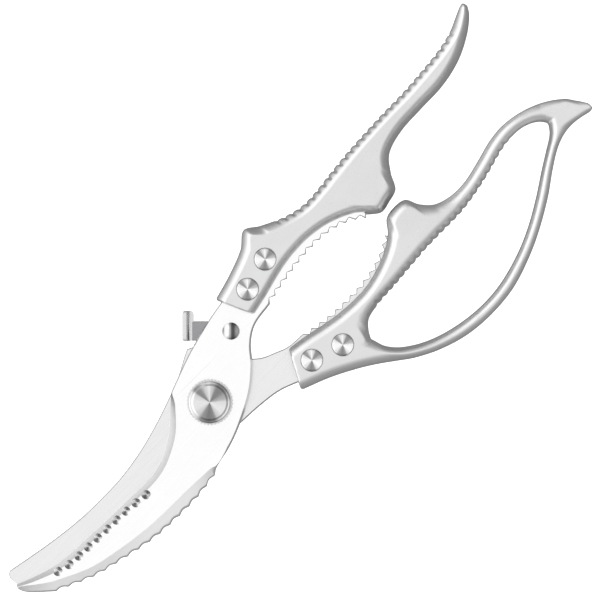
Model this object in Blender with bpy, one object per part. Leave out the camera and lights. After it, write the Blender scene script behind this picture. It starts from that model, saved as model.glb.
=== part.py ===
"""Poultry shears with cast handles, a nutcracker grip and a thumb latch.

The origin is on the pivot axis, in the plane that the closed shears rest on.
+X runs from the pivot towards the handles, +Y towards the thumb handle, and +Z towards the front face.
Every size below is in millimetres. The meshes are made in metres.
"""

import math

import bmesh
import bpy
from mathutils import Matrix, Vector
from mathutils.geometry import tessellate_polygon

# ---------------------------------------------------------------- driving dimensions, in millimetres
LENGTH = 254.0  # the closed shears over all; the outlines below are drawn for 254
HANDLE_THICK = 13.0
GRIP_THICK = 10.0  # the handles' thickness where the fingers hold them
HANDLE_ROUND = 3.2  # the radius of the handles' long edges
TIP_HALF_THICK = 2.0  # the handles thin out to this at their tips
PLATE = 3.0  # the blades' steel
GAP = 0.3  # between touching pieces, and between the two blades
EDGE_LAND = 0.4  # the height of the flat below each ground bevel

SHANK_RADIUS = 4.0
SCREW_END_RADIUS = 2.6
HEAD_RADIUS = 7.1
WASHER_RADIUS = 7.8
WASHER_THICK = 0.7
HEAD_RISE = 0.2  # how far the pivot's head stands above the handles
SPANNER_HOLE_RADIUS = 0.8
SPANNER_HOLE_PLACE = 4.6

RIVET_HEAD_RADIUS = 3.75
RIVET_TUBE_RADIUS = 2.2
RIVET_PIN_RADIUS = 1.0
RIVET_HEAD_THICK = 0.8
RIVET_TUBE_REACH = 2.0  # how far the tube passes the middle plane
RIVET_PIN_REACH = 1.0

SPRING_WIRE = 0.8
SPRING_ROOM = 1.0  # between the shank and the coil
SPRING_PITCH_ROOM = 0.15  # between one turn and the next
SPRING_ANGLES = (math.radians(-20), math.radians(100 + 360))  # where the coil starts and ends
SPRING_LEG = 2.0  # how far each leg reaches past the pocket
POCKET_ROOM = 0.8  # between the coil and the pocket's wall

LATCH_PIN_RADIUS = 1.6
LATCH_DOME_RADIUS = 2.95
LATCH_DOME_HEIGHT = 1.7
LATCH_TAIL_THICK = 1.5  # the pin's rear head
LATCH_THICK = 1.9
LATCH_WASHER_RADIUS = 3.4
LATCH_WASHER_THICK = 0.3
TAB_BELOW_FRONT = 0.5  # how far the thumb tab stays under the handles' front
TAB_BEND = 2.2  # the outer radius of the bend
NOTCH_DEPTH = 1.6  # of the rear blade's rim beside the ear

TOOTH_PITCH = 3.4
TOOTH_DEPTH = 1.3
SCALLOP_COUNT = 15
SCALLOP_DEPTH = 1.0
DIMPLE_COUNT = 10
DIMPLE_RADIUS = 1.6
DIMPLE_DEPTH = 0.9

# ---------------------------------------------------------------- what follows from them
SCALE = LENGTH / 254.0
MID = HANDLE_THICK / 2
REAR_TOP = MID - GAP / 2
REAR_BOTTOM = REAR_TOP - PLATE
FRONT_BOTTOM = MID + GAP / 2
FRONT_TOP = FRONT_BOTTOM + PLATE
HEAD_BOTTOM = FRONT_TOP + GAP + WASHER_THICK + GAP
HEAD_TOP = HANDLE_THICK + HEAD_RISE
NUT_THICK = REAR_BOTTOM - GAP - WASHER_THICK - GAP
LATCH_TOP = FRONT_BOTTOM - GAP - LATCH_WASHER_THICK - GAP
LATCH_BOTTOM = LATCH_TOP - LATCH_THICK
TAB_TOP = HANDLE_THICK - TAB_BELOW_FRONT
SPRING_TURNS = (SPRING_ANGLES[1] - SPRING_ANGLES[0]) / (2 * math.pi)
SPRING_RADIUS = SHANK_RADIUS + SPRING_ROOM + SPRING_WIRE / 2
POCKET_RADIUS = SPRING_RADIUS + SPRING_WIRE / 2 + POCKET_ROOM
POCKET_DEPTH = (SPRING_TURNS * (SPRING_WIRE + SPRING_PITCH_ROOM) + SPRING_WIRE + GAP) / 2
SPRING_LEG_END = POCKET_RADIUS + SPRING_LEG

# ---------------------------------------------------------------- outlines and places, drawn for a length of 254
THUMB_RIVETS = ((47.6, 21.0), (36.2, 18.0))
FINGER_RIVETS = ((45.7, -18.1), (34.6, -14.4))
DIMPLE_ROW = ((-37.6, -6.9), (-46.4, -6.0), (-55.1, -5.8), (-63.8, -5.6), (-72.7, -5.2), (-77.2, -4.2))
GRIP_BLEND = (84.0, 120.0)  # where the handles thin down to the grip

LATCH_PIN = (22.1, 12.0)
LATCH_TILT = math.radians(135)  # the arm's direction at rest
LATCH_HUB_RADIUS = 4.6
LATCH_HALF_WIDTH = 3.33
LATCH_NOSE = (8.3, 10.1)  # where the nose starts and ends along the arm
LATCH_NOSE_DEPTH = 4.3
TAB_REACH = (12.8, 16.7)  # the tab's inner and outer faces, along the arm
TAB_SIDES = (-6.9, 3.4)  # the tab's ends, across the arm
EAR_LEFT = math.radians(69)  # the angle round the pivot where the ear ends
RIM_START = math.radians(12)  # and where the notched rim starts

FRONT_BACK = ((26.7, 21.3), (19.5, 20.0), (7.2, 16.8), (-2.8, 13.3), (-7.0, 11.7))
FRONT_EDGE = ((-7.0, 11.7), (-10.6, 8.6), (-18.5, 1.7), (-29.6, -3.5), (-44.2, -3.8), (-61.0, -3.3),
              (-76.0, -2.2), (-85.5, 0.6), (-90.7, 2.7))
FRONT_EDGE_FACE = ((-7.0, 11.5), (-9.1, 7.7), (-17.1, -0.2), (-29.1, -5.5), (-44.2, -5.8), (-61.1, -5.3),
                   (-76.0, -4.2), (-85.1, -1.0), (-90.3, 1.6))
FRONT_TIP = ((-90.7, 2.7), (-91.3, 1.2), (-90.4, -1.0), (-87.9, -3.8), (-82.7, -8.6))
FRONT_TIP_FACE = ((-90.3, 1.6), (-90.2, 1.4), (-89.3, 0.8), (-84.6, -2.9), (-80.6, -5.6))
SPINE_CREST = ((-82.7, -8.6), (-70.0, -14.2), (-60.0, -16.8), (-48.1, -19.3), (-39.3, -20.1), (-26.0, -20.1),
               (-16.7, -18.9))
SPINE_FACE = ((-80.6, -5.6), (-68.6, -11.1), (-57.0, -13.7), (-47.2, -15.1), (-39.7, -15.6), (-26.0, -15.8),
              (-15.6, -16.2))
FRONT_THROAT = ((-16.7, -18.9), (-14.2, -17.4), (-6.5, -15.6), (1.9, -12.5), (12.0, -7.2), (19.1, -1.3),
                (24.0, 4.3), (29.3, 7.7), (38.0, 9.1))
FRONT_THROAT_FACE = ((-15.6, -16.2), (-13.6, -16.8), (-6.5, -15.6), (1.9, -12.5), (12.0, -7.2), (19.1, -1.3),
                     (24.0, 4.3), (29.3, 7.7), (38.0, 9.1))
FRONT_TEETH = ((38.0, 9.1), (48.6, 11.1), (60.2, 12.5), (69.7, 12.0), (77.1, 9.7), (81.6, 6.6))
FRONT_TANG = ((83.0, 7.8), (83.0, 11.0), (75.0, 15.8), (66.0, 18.5), (56.0, 21.5), (48.0, 26.6),
              (40.0, 24.8), (30.0, 22.0), (26.7, 21.3))

REAR_SPINE = ((4.8, 17.2), (-2.8, 13.3), (-16.8, 8.2), (-28.6, 5.0), (-40.0, 3.2), (-50.0, 2.9),
              (-59.4, 3.1), (-72.4, 4.6), (-89.3, 7.6))
REAR_TIP = ((-89.3, 7.6), (-90.6, 6.2), (-90.6, 3.2), (-89.0, 0.2))
REAR_EDGE = ((-89.0, 0.2), (-84.0, -3.6), (-69.2, -9.0), (-49.3, -11.2), (-30.3, -11.4), (-15.6, -10.4),
             (-6.5, -12.3), (1.9, -12.5))
REAR_EDGE_FACE = ((-88.2, 2.0), (-83.2, -1.4), (-68.8, -6.6), (-49.1, -8.7), (-30.3, -8.9), (-15.8, -8.6),
                  (-6.5, -12.3), (1.9, -12.5))
REAR_HEEL = ((1.9, -12.5), (11.1, -13.0), (19.5, -14.2), (27.4, -17.2))
REAR_TANG = ((27.4, -17.2), (33.4, -19.2), (40.9, -21.4), (46.2, -22.1), (52.0, -18.3), (57.0, -13.9),
             (64.9, -12.2), (72.1, -11.1), (79.1, -8.4), (83.0, -5.2), (82.8, -2.9))
REAR_TEETH = ((82.2, -1.8), (76.5, -4.9), (70.1, -6.9), (63.2, -7.8), (50.5, -7.7), (38.7, -6.0))
REAR_THROAT = ((38.7, -6.0), (32.0, -5.5), (27.4, -3.8), (23.1, -1.9), (20.2, 0.4))

# Each pair is a place on the handle's outer edge and the place across from it on its inner edge.
THUMB_STATIONS = (
    ((25.8, 23.3), (31.8, 9.8)), ((34.4, 25.7), (38.4, 11.2)), ((43.8, 29.3), (46.5, 13.3)),
    ((49.3, 33.3), (51.5, 14.4)), ((54.5, 30.3), (56.5, 15.0)), ((62.0, 26.9), (63.2, 15.1)),
    ((70.0, 25.1), (71.4, 13.7)), ((79.0, 25.6), (79.5, 10.2)), ((84.6, 26.3), (84.4, 6.0)),
    ((87.6, 26.6), (87.2, 4.3)), ((91.6, 27.0), (91.2, 5.0)), ((96.2, 27.4), (95.8, 6.5)),
    ((100.0, 27.6), (98.6, 11.5)),
    ((105.0, 27.9), (103.0, 16.6)), ((112.0, 28.0), (111.0, 19.1)), ((121.0, 28.2), (120.7, 19.7)),
    ((131.0, 28.9), (132.0, 20.1)), ((139.5, 29.8), (141.5, 22.2)), ((147.0, 31.5), (149.5, 26.0)),
    ((152.5, 33.9), (155.0, 30.2)), ((155.3, 35.1), (157.1, 33.3)), ((156.4, 35.3), (157.0, 34.6)),
)
LOOP_STATIONS = (
    ((24.7, -19.1), (29.3, -9.9)), ((34.7, -23.0), (38.5, -10.5)), ((44.0, -27.8), (47.5, -14.0)),
    ((50.0, -31.6), (53.8, -23.5)), ((55.0, -35.2), (55.6, -28.6)), ((60.0, -38.7), (59.6, -33.2)),
    ((68.0, -42.7), (67.5, -37.9)), ((78.0, -45.7), (77.5, -41.0)), ((89.0, -46.6), (88.5, -42.3)),
    ((100.5, -45.5), (98.5, -41.5)), ((112.0, -41.8), (109.5, -38.5)), ((121.2, -37.5), (118.6, -34.6)),
    ((130.6, -32.0), (127.7, -29.4)), ((138.5, -26.4), (135.6, -24.2)), ((144.7, -22.6), (141.5, -20.5)),
    ((150.0, -20.7), (146.4, -17.3)), ((154.6, -20.4), (150.5, -12.5)), ((158.6, -21.0), (156.9, -11.4)),
    ((161.2, -21.6), (160.7, -15.8)), ((162.7, -21.3), (162.8, -19.2)),
)
BRIDGE_STATIONS = (
    ((31.5, -6.1), (26.4, -15.6)), ((38.7, -7.2), (36.0, -20.0)), ((46.0, -8.7), (46.0, -24.5)),
    ((51.3, -9.6), (52.2, -25.6)), ((54.8, -9.9), (55.4, -20.9)), ((58.0, -10.1), (58.4, -18.1)),
    ((64.7, -9.9), (64.0, -17.0)), ((72.0, -8.2), (72.5, -16.5)), ((78.6, -5.5), (79.5, -15.9)),
    ((83.4, -2.2), (84.5, -15.5)), ((86.8, 1.7), (88.0, -15.2)), ((91.5, 2.6), (91.8, -15.1)),
    ((95.6, 1.7), (95.5, -15.0)), ((97.8, -2.6), (98.5, -15.0)), ((101.5, -6.4), (102.5, -15.0)),
    ((107.5, -8.3), (108.0, -14.7)), ((114.3, -8.3), (114.5, -13.7)), ((122.0, -6.6), (122.5, -11.9)),
    ((130.0, -4.5), (131.0, -9.6)), ((136.5, -3.8), (137.5, -8.8)), ((143.0, -4.6), (142.5, -9.5)),
    ((149.0, -6.5), (146.8, -11.8)), ((154.0, -9.1), (150.0, -16.0)), ((158.0, -12.3), (154.2, -18.2)),
    ((160.4, -15.7), (157.2, -20.2)),
)


# ---------------------------------------------------------------- curves
def smooth(points, steps=4):
    """A smooth curve through the points, as a list that holds both ends."""
    known = [Vector(p) for p in points]
    ends = [known[0] * 2 - known[1], *known, known[-1] * 2 - known[-2]]
    found = []
    for before, start, end, after in zip(ends, ends[1:], ends[2:], ends[3:]):
        span = max((end - start).length, 1e-6)
        leave = (end - before) / (1 + (start - before).length / span)
        arrive = (after - start) / (1 + (after - end).length / span)
        for step in range(steps):
            t = step / steps
            found.append(
                start * (2 * t**3 - 3 * t**2 + 1)
                + leave * (t**3 - 2 * t**2 + t)
                + end * (3 * t**2 - 2 * t**3)
                + arrive * (t**3 - t**2)
            )
    return [*found, known[-1]]


def arc(radius, start, end, steps, centre=(0.0, 0.0)):
    """Points on a circle, with the angles in radians."""
    angles = [start + (end - start) * n / steps for n in range(steps + 1)]
    return [Vector((centre[0] + radius * math.cos(a), centre[1] + radius * math.sin(a))) for a in angles]


def along(curve, distance):
    """The place and the direction at a distance along a list of points."""
    for start, end in zip(curve, curve[1:]):
        length = (end - start).length
        if distance <= length or end is curve[-1]:
            return start.lerp(end, distance / length), (end - start).normalized()
        distance -= length
    return curve[-1], (curve[-1] - curve[-2]).normalized()


def length_of(curve):
    return sum((end - start).length for start, end in zip(curve, curve[1:]))


def saw_teeth(crest, pitch, depth, side):
    """Pointed teeth whose tips lie on the crest. The valleys are on the side that is given, 1 for the left."""
    total = length_of(crest)
    count = max(1, round(total / pitch))
    found = []
    for tooth in range(count):
        tip, heading = along(crest, total * tooth / count)
        low, heading = along(crest, total * (tooth + 0.45) / count)
        found.append(tip)
        found.append(low + Vector((-heading.y, heading.x)) * depth * side)
    return [*found, crest[-1]]


def scallops(crest, face, count, depth, steps=4):
    """Hollow bites between tips on the crest, with the matching places on the ground strip's upper border."""
    outer, inner = [], []
    crest_length, face_length = length_of(crest), length_of(face)
    for n in range(count * steps + 1):
        share = n / (count * steps)
        place, heading = along(crest, crest_length * share)
        bite = depth * math.sin(math.pi * (n % steps) / steps)
        outer.append(place + Vector((-heading.y, heading.x)) * bite)
        inner.append(along(face, face_length * share)[0])
    return outer, inner


def resized(points):
    return [Vector(p) * SCALE for p in points]


def paired_runs(pairs):
    """Two outlines with the same number of points, from runs given as (outer, face) pairs."""
    outer, face = [], []
    for outer_run, face_run in pairs:
        for place, above in zip(outer_run, face_run):
            if not outer or (place - outer[-1]).length > 1e-3:
                outer.append(place)
                face.append(above)
    if (outer[0] - outer[-1]).length < 1e-3:
        outer.pop()
        face.pop()
    return outer, face


# ---------------------------------------------------------------- meshes
def material(name, colour, roughness, metallic=1.0):
    made = bpy.data.materials.new(name)
    made.use_nodes = True
    shader = made.node_tree.nodes["Principled BSDF"]
    shader.inputs["Base Color"].default_value = (*colour, 1.0)
    shader.inputs["Roughness"].default_value = roughness
    shader.inputs["Metallic"].default_value = metallic
    made.diffuse_color = (*colour, 1.0)
    return made


def object_from(name, mesh_builder, look=None, parent=None, place=(0.0, 0.0, 0.0), turn=0.0):
    """Write a bmesh made in millimetres to a new object, placed in millimetres."""
    bmesh.ops.recalc_face_normals(mesh_builder, faces=mesh_builder.faces)
    bmesh.ops.transform(mesh_builder, matrix=Matrix.Scale(0.001, 4), verts=mesh_builder.verts)
    mesh = bpy.data.meshes.new(name)
    mesh_builder.to_mesh(mesh)
    mesh_builder.free()
    mesh.shade_smooth()
    mesh.set_sharp_from_angle(angle=math.radians(35))
    made = bpy.data.objects.new(name, mesh)
    bpy.context.collection.objects.link(made)
    made.location = Vector(place) * 0.001
    made.rotation_euler = (0.0, 0.0, turn)
    if look:
        mesh.materials.append(look)
    if parent:
        made.parent = parent
    return made


def stacked(loops):
    """A closed solid through loops of 3-D points that all have the same number of points."""
    builder = bmesh.new()
    rings = [[builder.verts.new(p) for p in loop] for loop in loops]
    for low, high in zip(rings, rings[1:]):
        for n in range(len(low)):
            after = (n + 1) % len(low)
            builder.faces.new((low[n], low[after], high[after], high[n]))
    for ring, turn in ((rings[0], -1), (rings[-1], 1)):
        for corners in tessellate_polygon([[v.co for v in ring]]):
            builder.faces.new([ring[n] for n in corners][::turn])
    return builder


def level(points, height):
    return [(p[0], p[1], height) for p in points]


def prism(points, bottom, top):
    return stacked([level(points, bottom), level(points, top)])


def turned(profile, segments=32, ring=False):
    """A turned solid. The profile is (radius, height) from its bottom to its top, or closed for a ring."""
    builder = bmesh.new()
    rows = []
    for radius, height in profile:
        if radius == 0:
            rows.append([builder.verts.new((0, 0, height))])
            continue
        angles = [2 * math.pi * n / segments for n in range(segments)]
        rows.append([builder.verts.new((radius * math.cos(a), radius * math.sin(a), height)) for a in angles])
    pairs = list(zip(rows, rows[1:]))
    if ring:
        pairs.append((rows[-1], rows[0]))
    for low, high in pairs:
        for n in range(segments):
            corners = [low[n % len(low)], low[(n + 1) % len(low)], high[(n + 1) % len(high)], high[n % len(high)]]
            builder.faces.new(list(dict.fromkeys(corners)))
    return builder


def disc(radius, bottom, top, segments=32):
    return turned(((0, bottom), (radius, bottom), (radius, top), (0, top)), segments)


def tube(points, radius, sides=6):
    """A round bar along a list of 3-D points."""
    places = [Vector(p) for p in points]
    loops = []
    side = Vector((0, 0, 1))
    for n, place in enumerate(places):
        heading = (places[min(n + 1, len(places) - 1)] - places[max(n - 1, 0)]).normalized()
        across = heading.cross(side).normalized()
        up = across.cross(heading)
        angles = [2 * math.pi * k / sides for k in range(sides)]
        loops.append([place + across * radius * math.cos(a) + up * radius * math.sin(a) for a in angles])
    return stacked(loops)


def handle_bar(stations, thickness_at, steps=3, corner_steps=2):
    """A bar with round long edges through stations, each a pair of places across from each other."""
    first = smooth(resized(s[0] for s in stations), steps)
    second = smooth(resized(s[1] for s in stations), steps)
    loops = []
    for one, other in zip(first, second):
        centre = (one + other) / 2
        across = (other - one) / 2
        half_width = across.length
        half_thick = min(thickness_at(centre.x / SCALE) / 2, TIP_HALF_THICK + half_width * 2)
        corner = min(HANDLE_ROUND, half_width * 0.98, half_thick * 0.98)
        loop = []
        for quarter, (way, rise) in enumerate(((1, 1), (-1, 1), (-1, -1), (1, -1))):
            for n in range(corner_steps + 1):
                angle = (quarter + n / corner_steps) * math.pi / 2
                out = way * (half_width - corner) + corner * math.cos(angle)
                up = rise * (half_thick - corner) + corner * math.sin(angle)
                place = centre + across.normalized() * out
                loop.append((place.x, place.y, MID + up))
        loops.append(loop)
    return stacked(loops)


def grip_thickness(x):
    """The handles are thickest where the blades' tangs end in them, and thinner along the grips."""
    start, end = GRIP_BLEND
    share = min(max((x - start) / (end - start), 0.0), 1.0)
    ease = share * share * (3 - 2 * share)
    return HANDLE_THICK + (GRIP_THICK - HANDLE_THICK) * ease


def cutter(name, mesh_builder, **placing):
    made = object_from(name, mesh_builder, **placing)
    made.hide_render = True
    made.display_type = "WIRE"
    return made


def cut(target, tool, operation="DIFFERENCE"):
    step = target.modifiers.new(tool.name, "BOOLEAN")
    step.operation = operation
    step.solver = "EXACT"
    step.object = tool


def bore(target, name, place, radius, bottom, top, segments=32):
    cut(target, cutter(name, disc(radius, bottom, top, segments), place=(*place, 0)))


# ---------------------------------------------------------------- blades
def spring_seat(target, name, bottom, top, leg_angle):
    """The round pocket for the spring, and the groove for one of its legs."""
    bore(target, name + "_pocket", (0, 0), POCKET_RADIUS, bottom, top)
    half = SPRING_WIRE / 2 + GAP
    groove = [Vector((SHANK_RADIUS + 1, -half)), Vector((SPRING_LEG_END + GAP, -half)),
              Vector((SPRING_LEG_END + GAP, half)), Vector((SHANK_RADIUS + 1, half))]
    cut(target, cutter(name + "_groove", prism(groove, bottom, top), turn=leg_angle))


def front_blade(look, parent):
    edge, edge_face = smooth(resized(FRONT_EDGE), 4), smooth(resized(FRONT_EDGE_FACE), 4)
    spine, spine_face = scallops(smooth(resized(SPINE_CREST)), smooth(resized(SPINE_FACE)),
                                 SCALLOP_COUNT, SCALLOP_DEPTH)
    throat, throat_face = smooth(resized(FRONT_THROAT)), smooth(resized(FRONT_THROAT_FACE))
    back = smooth(resized(FRONT_BACK))
    teeth = saw_teeth(smooth(resized(FRONT_TEETH)), TOOTH_PITCH, TOOTH_DEPTH, 1)
    tang = smooth(resized(FRONT_TANG), 3)
    outer, face = paired_runs((
        (back, back), (edge, edge_face), (smooth(resized(FRONT_TIP), 3), smooth(resized(FRONT_TIP_FACE), 3)),
        (spine, spine_face), (throat, throat_face), (teeth, teeth), (tang, tang),
    ))
    loops = [level(outer, FRONT_BOTTOM), level(outer, FRONT_BOTTOM + EDGE_LAND), level(face, FRONT_TOP)]
    made = object_from("front_blade", stacked(loops), look, parent)
    bore(made, "front_blade_bore", (0, 0), SHANK_RADIUS + GAP, FRONT_BOTTOM - 1, FRONT_TOP + 1)
    spring_seat(made, "front_blade", FRONT_BOTTOM - 1, FRONT_BOTTOM + POCKET_DEPTH, SPRING_ANGLES[1])
    pin_place = Vector(LATCH_PIN) * SCALE
    bore(made, "front_blade_latch_bore", pin_place, LATCH_PIN_RADIUS + GAP, FRONT_BOTTOM - 1, FRONT_TOP + 1, 24)
    for number, place in enumerate(resized(THUMB_RIVETS)):
        bore(made, f"front_tang_bore_{number}", place, RIVET_TUBE_RADIUS + GAP, FRONT_BOTTOM - 1, FRONT_TOP + 1, 24)
    row = smooth(resized(DIMPLE_ROW))
    over = GAP  # the cutters stand this far above the face
    for number in range(DIMPLE_COUNT):
        place = along(row, length_of(row) * number / (DIMPLE_COUNT - 1))[0]
        wide = DIMPLE_RADIUS * (1 + over / DIMPLE_DEPTH)
        cone = turned(((0, FRONT_TOP - DIMPLE_DEPTH), (wide, FRONT_TOP + over), (0, FRONT_TOP + over)), 16)
        cut(made, cutter(f"dimple_{number}", cone, place=(*place, 0)))
    return made


def rear_blade(look, parent):
    radius, flank = ear_size()
    ear = [*arc(radius - NOTCH_DEPTH, RIM_START, flank, 8), *arc(radius, flank, EAR_LEFT, 4)]
    edge, edge_face = smooth(resized(REAR_EDGE)), smooth(resized(REAR_EDGE_FACE))
    plain = [
        smooth(resized(REAR_HEEL)), smooth(resized(REAR_TANG), 3),
        saw_teeth(smooth(resized(REAR_TEETH)), TOOTH_PITCH, TOOTH_DEPTH, 1),
        smooth(resized(REAR_THROAT)), ear, smooth(resized(REAR_SPINE)), smooth(resized(REAR_TIP), 3),
    ]
    pairs = [(run, run) for run in plain]
    outer, face = paired_runs((*pairs, (edge, edge_face)))
    loops = [level(face, REAR_BOTTOM), level(outer, REAR_TOP - EDGE_LAND), level(outer, REAR_TOP)]
    made = object_from("rear_blade", stacked(loops), look, parent)
    bore(made, "rear_blade_bore", (0, 0), SHANK_RADIUS + GAP, REAR_BOTTOM - 1, REAR_TOP + 1)
    spring_seat(made, "rear_blade", REAR_TOP - POCKET_DEPTH, REAR_TOP + 1, SPRING_ANGLES[0])
    for number, place in enumerate(resized(FINGER_RIVETS)):
        bore(made, f"rear_tang_bore_{number}", place, RIVET_TUBE_RADIUS + GAP, REAR_BOTTOM - 1, REAR_TOP + 1, 24)
    return made


def latch_place(along_arm, across_arm):
    """A place given from the latch pin, along the latch's arm and across it, in the shears' own plane."""
    way = Vector((math.cos(LATCH_TILT), math.sin(LATCH_TILT)))
    side = Vector((-way.y, way.x))
    return (Vector(LATCH_PIN) + way * along_arm + side * across_arm) * SCALE


def ear_size():
    """The ear's radius, just inside the latch's nose, and the angle of its flank, just past the nose."""
    start, end = (latch_place(place, LATCH_NOSE_DEPTH) for place in LATCH_NOSE)
    flank = latch_place(LATCH_NOSE[1] + GAP, LATCH_NOSE_DEPTH)
    return min(start.length, end.length) - GAP, math.atan2(flank.y, flank.x)


# ---------------------------------------------------------------- handles
def handle_fittings(made, name, tang_outline, bottom, top, rivets):
    """The slot that holds the tang, and the stepped bores for the rivets."""
    grown = []
    for n, place in enumerate(tang_outline):
        heading = (tang_outline[(n + 1) % len(tang_outline)] - tang_outline[n - 1]).normalized()
        out = Vector((heading.y, -heading.x))
        grown.append(place + out * GAP)
    cut(made, cutter(name + "_slot", prism(grown, bottom - GAP, top + GAP)))
    seat = RIVET_HEAD_THICK + GAP
    for number, place in enumerate(rivets):
        wide, narrow = RIVET_HEAD_RADIUS + GAP / 2, RIVET_TUBE_RADIUS + GAP
        steps = ((0, -1), (wide, -1), (wide, seat), (narrow, seat), (narrow, HANDLE_THICK - seat),
                 (wide, HANDLE_THICK - seat), (wide, HANDLE_THICK + 1), (0, HANDLE_THICK + 1))
        cut(made, cutter(f"{name}_rivet_seat_{number}", turned(steps, 24), place=(*place, 0)))


def thumb_handle(look, parent):
    made = object_from("thumb_handle", handle_bar(THUMB_STATIONS, grip_thickness), look, parent)
    crest = smooth(resized(FRONT_TEETH))
    front = resized(((20.0, 21.0), (24.0, 6.0), (34.0, 8.8)))
    outline = paired_runs(((run, run) for run in (front, crest, smooth(resized(FRONT_TANG), 3))))[0]
    handle_fittings(made, "thumb_handle", outline, FRONT_BOTTOM, FRONT_TOP, resized(THUMB_RIVETS))
    return made


def finger_handle(look, parent):
    made = object_from("finger_handle", handle_bar(LOOP_STATIONS, grip_thickness), look, parent)
    cut(made, cutter("finger_handle_bridge", handle_bar(BRIDGE_STATIONS, grip_thickness)), "UNION")
    crest = smooth(resized(REAR_TEETH))
    front = resized(((34.0, -5.0), (22.0, -4.0), (18.0, -15.0)))
    outline = paired_runs(((run, run) for run in (smooth(resized(REAR_TANG), 3), crest, front)))[0]
    handle_fittings(made, "finger_handle", outline, REAR_BOTTOM, REAR_TOP, resized(FINGER_RIVETS))
    return made


def rivet(name, place, look, parent):
    """A two-piece rivet: a tube with a head in front, and a pin with a head behind that enters it."""
    tube_end, pin_end = MID - RIVET_TUBE_REACH, MID + RIVET_PIN_REACH
    hollow = RIVET_PIN_RADIUS + GAP
    low, high = HANDLE_THICK - RIVET_HEAD_THICK, HANDLE_THICK
    front = ((0, pin_end + GAP), (hollow, pin_end + GAP), (hollow, tube_end), (RIVET_TUBE_RADIUS, tube_end),
             (RIVET_TUBE_RADIUS, low), (RIVET_HEAD_RADIUS, low), (RIVET_HEAD_RADIUS, high), (0, high))
    object_from(name + "_front", turned(front, 24), look, parent, (*place, 0))
    back = ((0, 0), (RIVET_HEAD_RADIUS, 0), (RIVET_HEAD_RADIUS, RIVET_HEAD_THICK),
            (RIVET_PIN_RADIUS, RIVET_HEAD_THICK), (RIVET_PIN_RADIUS, pin_end), (0, pin_end))
    object_from(name + "_back", turned(back, 24), look, parent, (*place, 0))


# ---------------------------------------------------------------- pivot and spring
def pivot(look, parent):
    end, step = NUT_THICK / 2, NUT_THICK + GAP
    screw = ((0, end), (SCREW_END_RADIUS, end), (SCREW_END_RADIUS, step), (SHANK_RADIUS, step),
             (SHANK_RADIUS, HEAD_BOTTOM), (HEAD_RADIUS, HEAD_BOTTOM), (HEAD_RADIUS, HEAD_TOP - 0.7),
             (HEAD_RADIUS - 0.7, HEAD_TOP), (0, HEAD_TOP))
    object_from("pivot_screw", turned(screw, 32), look, parent)
    hollow = SCREW_END_RADIUS + GAP
    nut = ((0, 0), (HEAD_RADIUS - 0.6, 0), (HEAD_RADIUS, 0.6), (HEAD_RADIUS, NUT_THICK), (hollow, NUT_THICK),
           (hollow, end - GAP), (0, end - GAP))
    made = object_from("pivot_nut", turned(nut, 32), look, parent)
    for number, way in enumerate((-1, 1)):
        place = (way * SPANNER_HOLE_PLACE, 0)
        bore(made, f"spanner_hole_{number}", place, SPANNER_HOLE_RADIUS, -1, NUT_THICK * 0.6, 16)


def washer(name, radius, hole, bottom, thick, look, parent, place=(0, 0)):
    profile = ((hole, bottom), (radius, bottom), (radius, bottom + thick), (hole, bottom + thick))
    object_from(name, turned(profile, 32, ring=True), look, parent, (*place, 0))


def torsion_spring(look, parent):
    """One turn of wire round the shank, with a leg out into each blade's groove."""
    low = REAR_TOP - POCKET_DEPTH + GAP + SPRING_WIRE / 2
    high = FRONT_BOTTOM + POCKET_DEPTH - GAP - SPRING_WIRE / 2
    start, end = SPRING_ANGLES
    points = [(SPRING_LEG_END * math.cos(start), SPRING_LEG_END * math.sin(start), low)]
    for n in range(29):
        share = n / 28
        angle = start + (end - start) * share
        rise = low + (high - low) * share
        points.append((SPRING_RADIUS * math.cos(angle), SPRING_RADIUS * math.sin(angle), rise))
    points.append((SPRING_LEG_END * math.cos(end), SPRING_LEG_END * math.sin(end), high))
    object_from("torsion_spring", tube(points, SPRING_WIRE / 2), look, parent)


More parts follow.
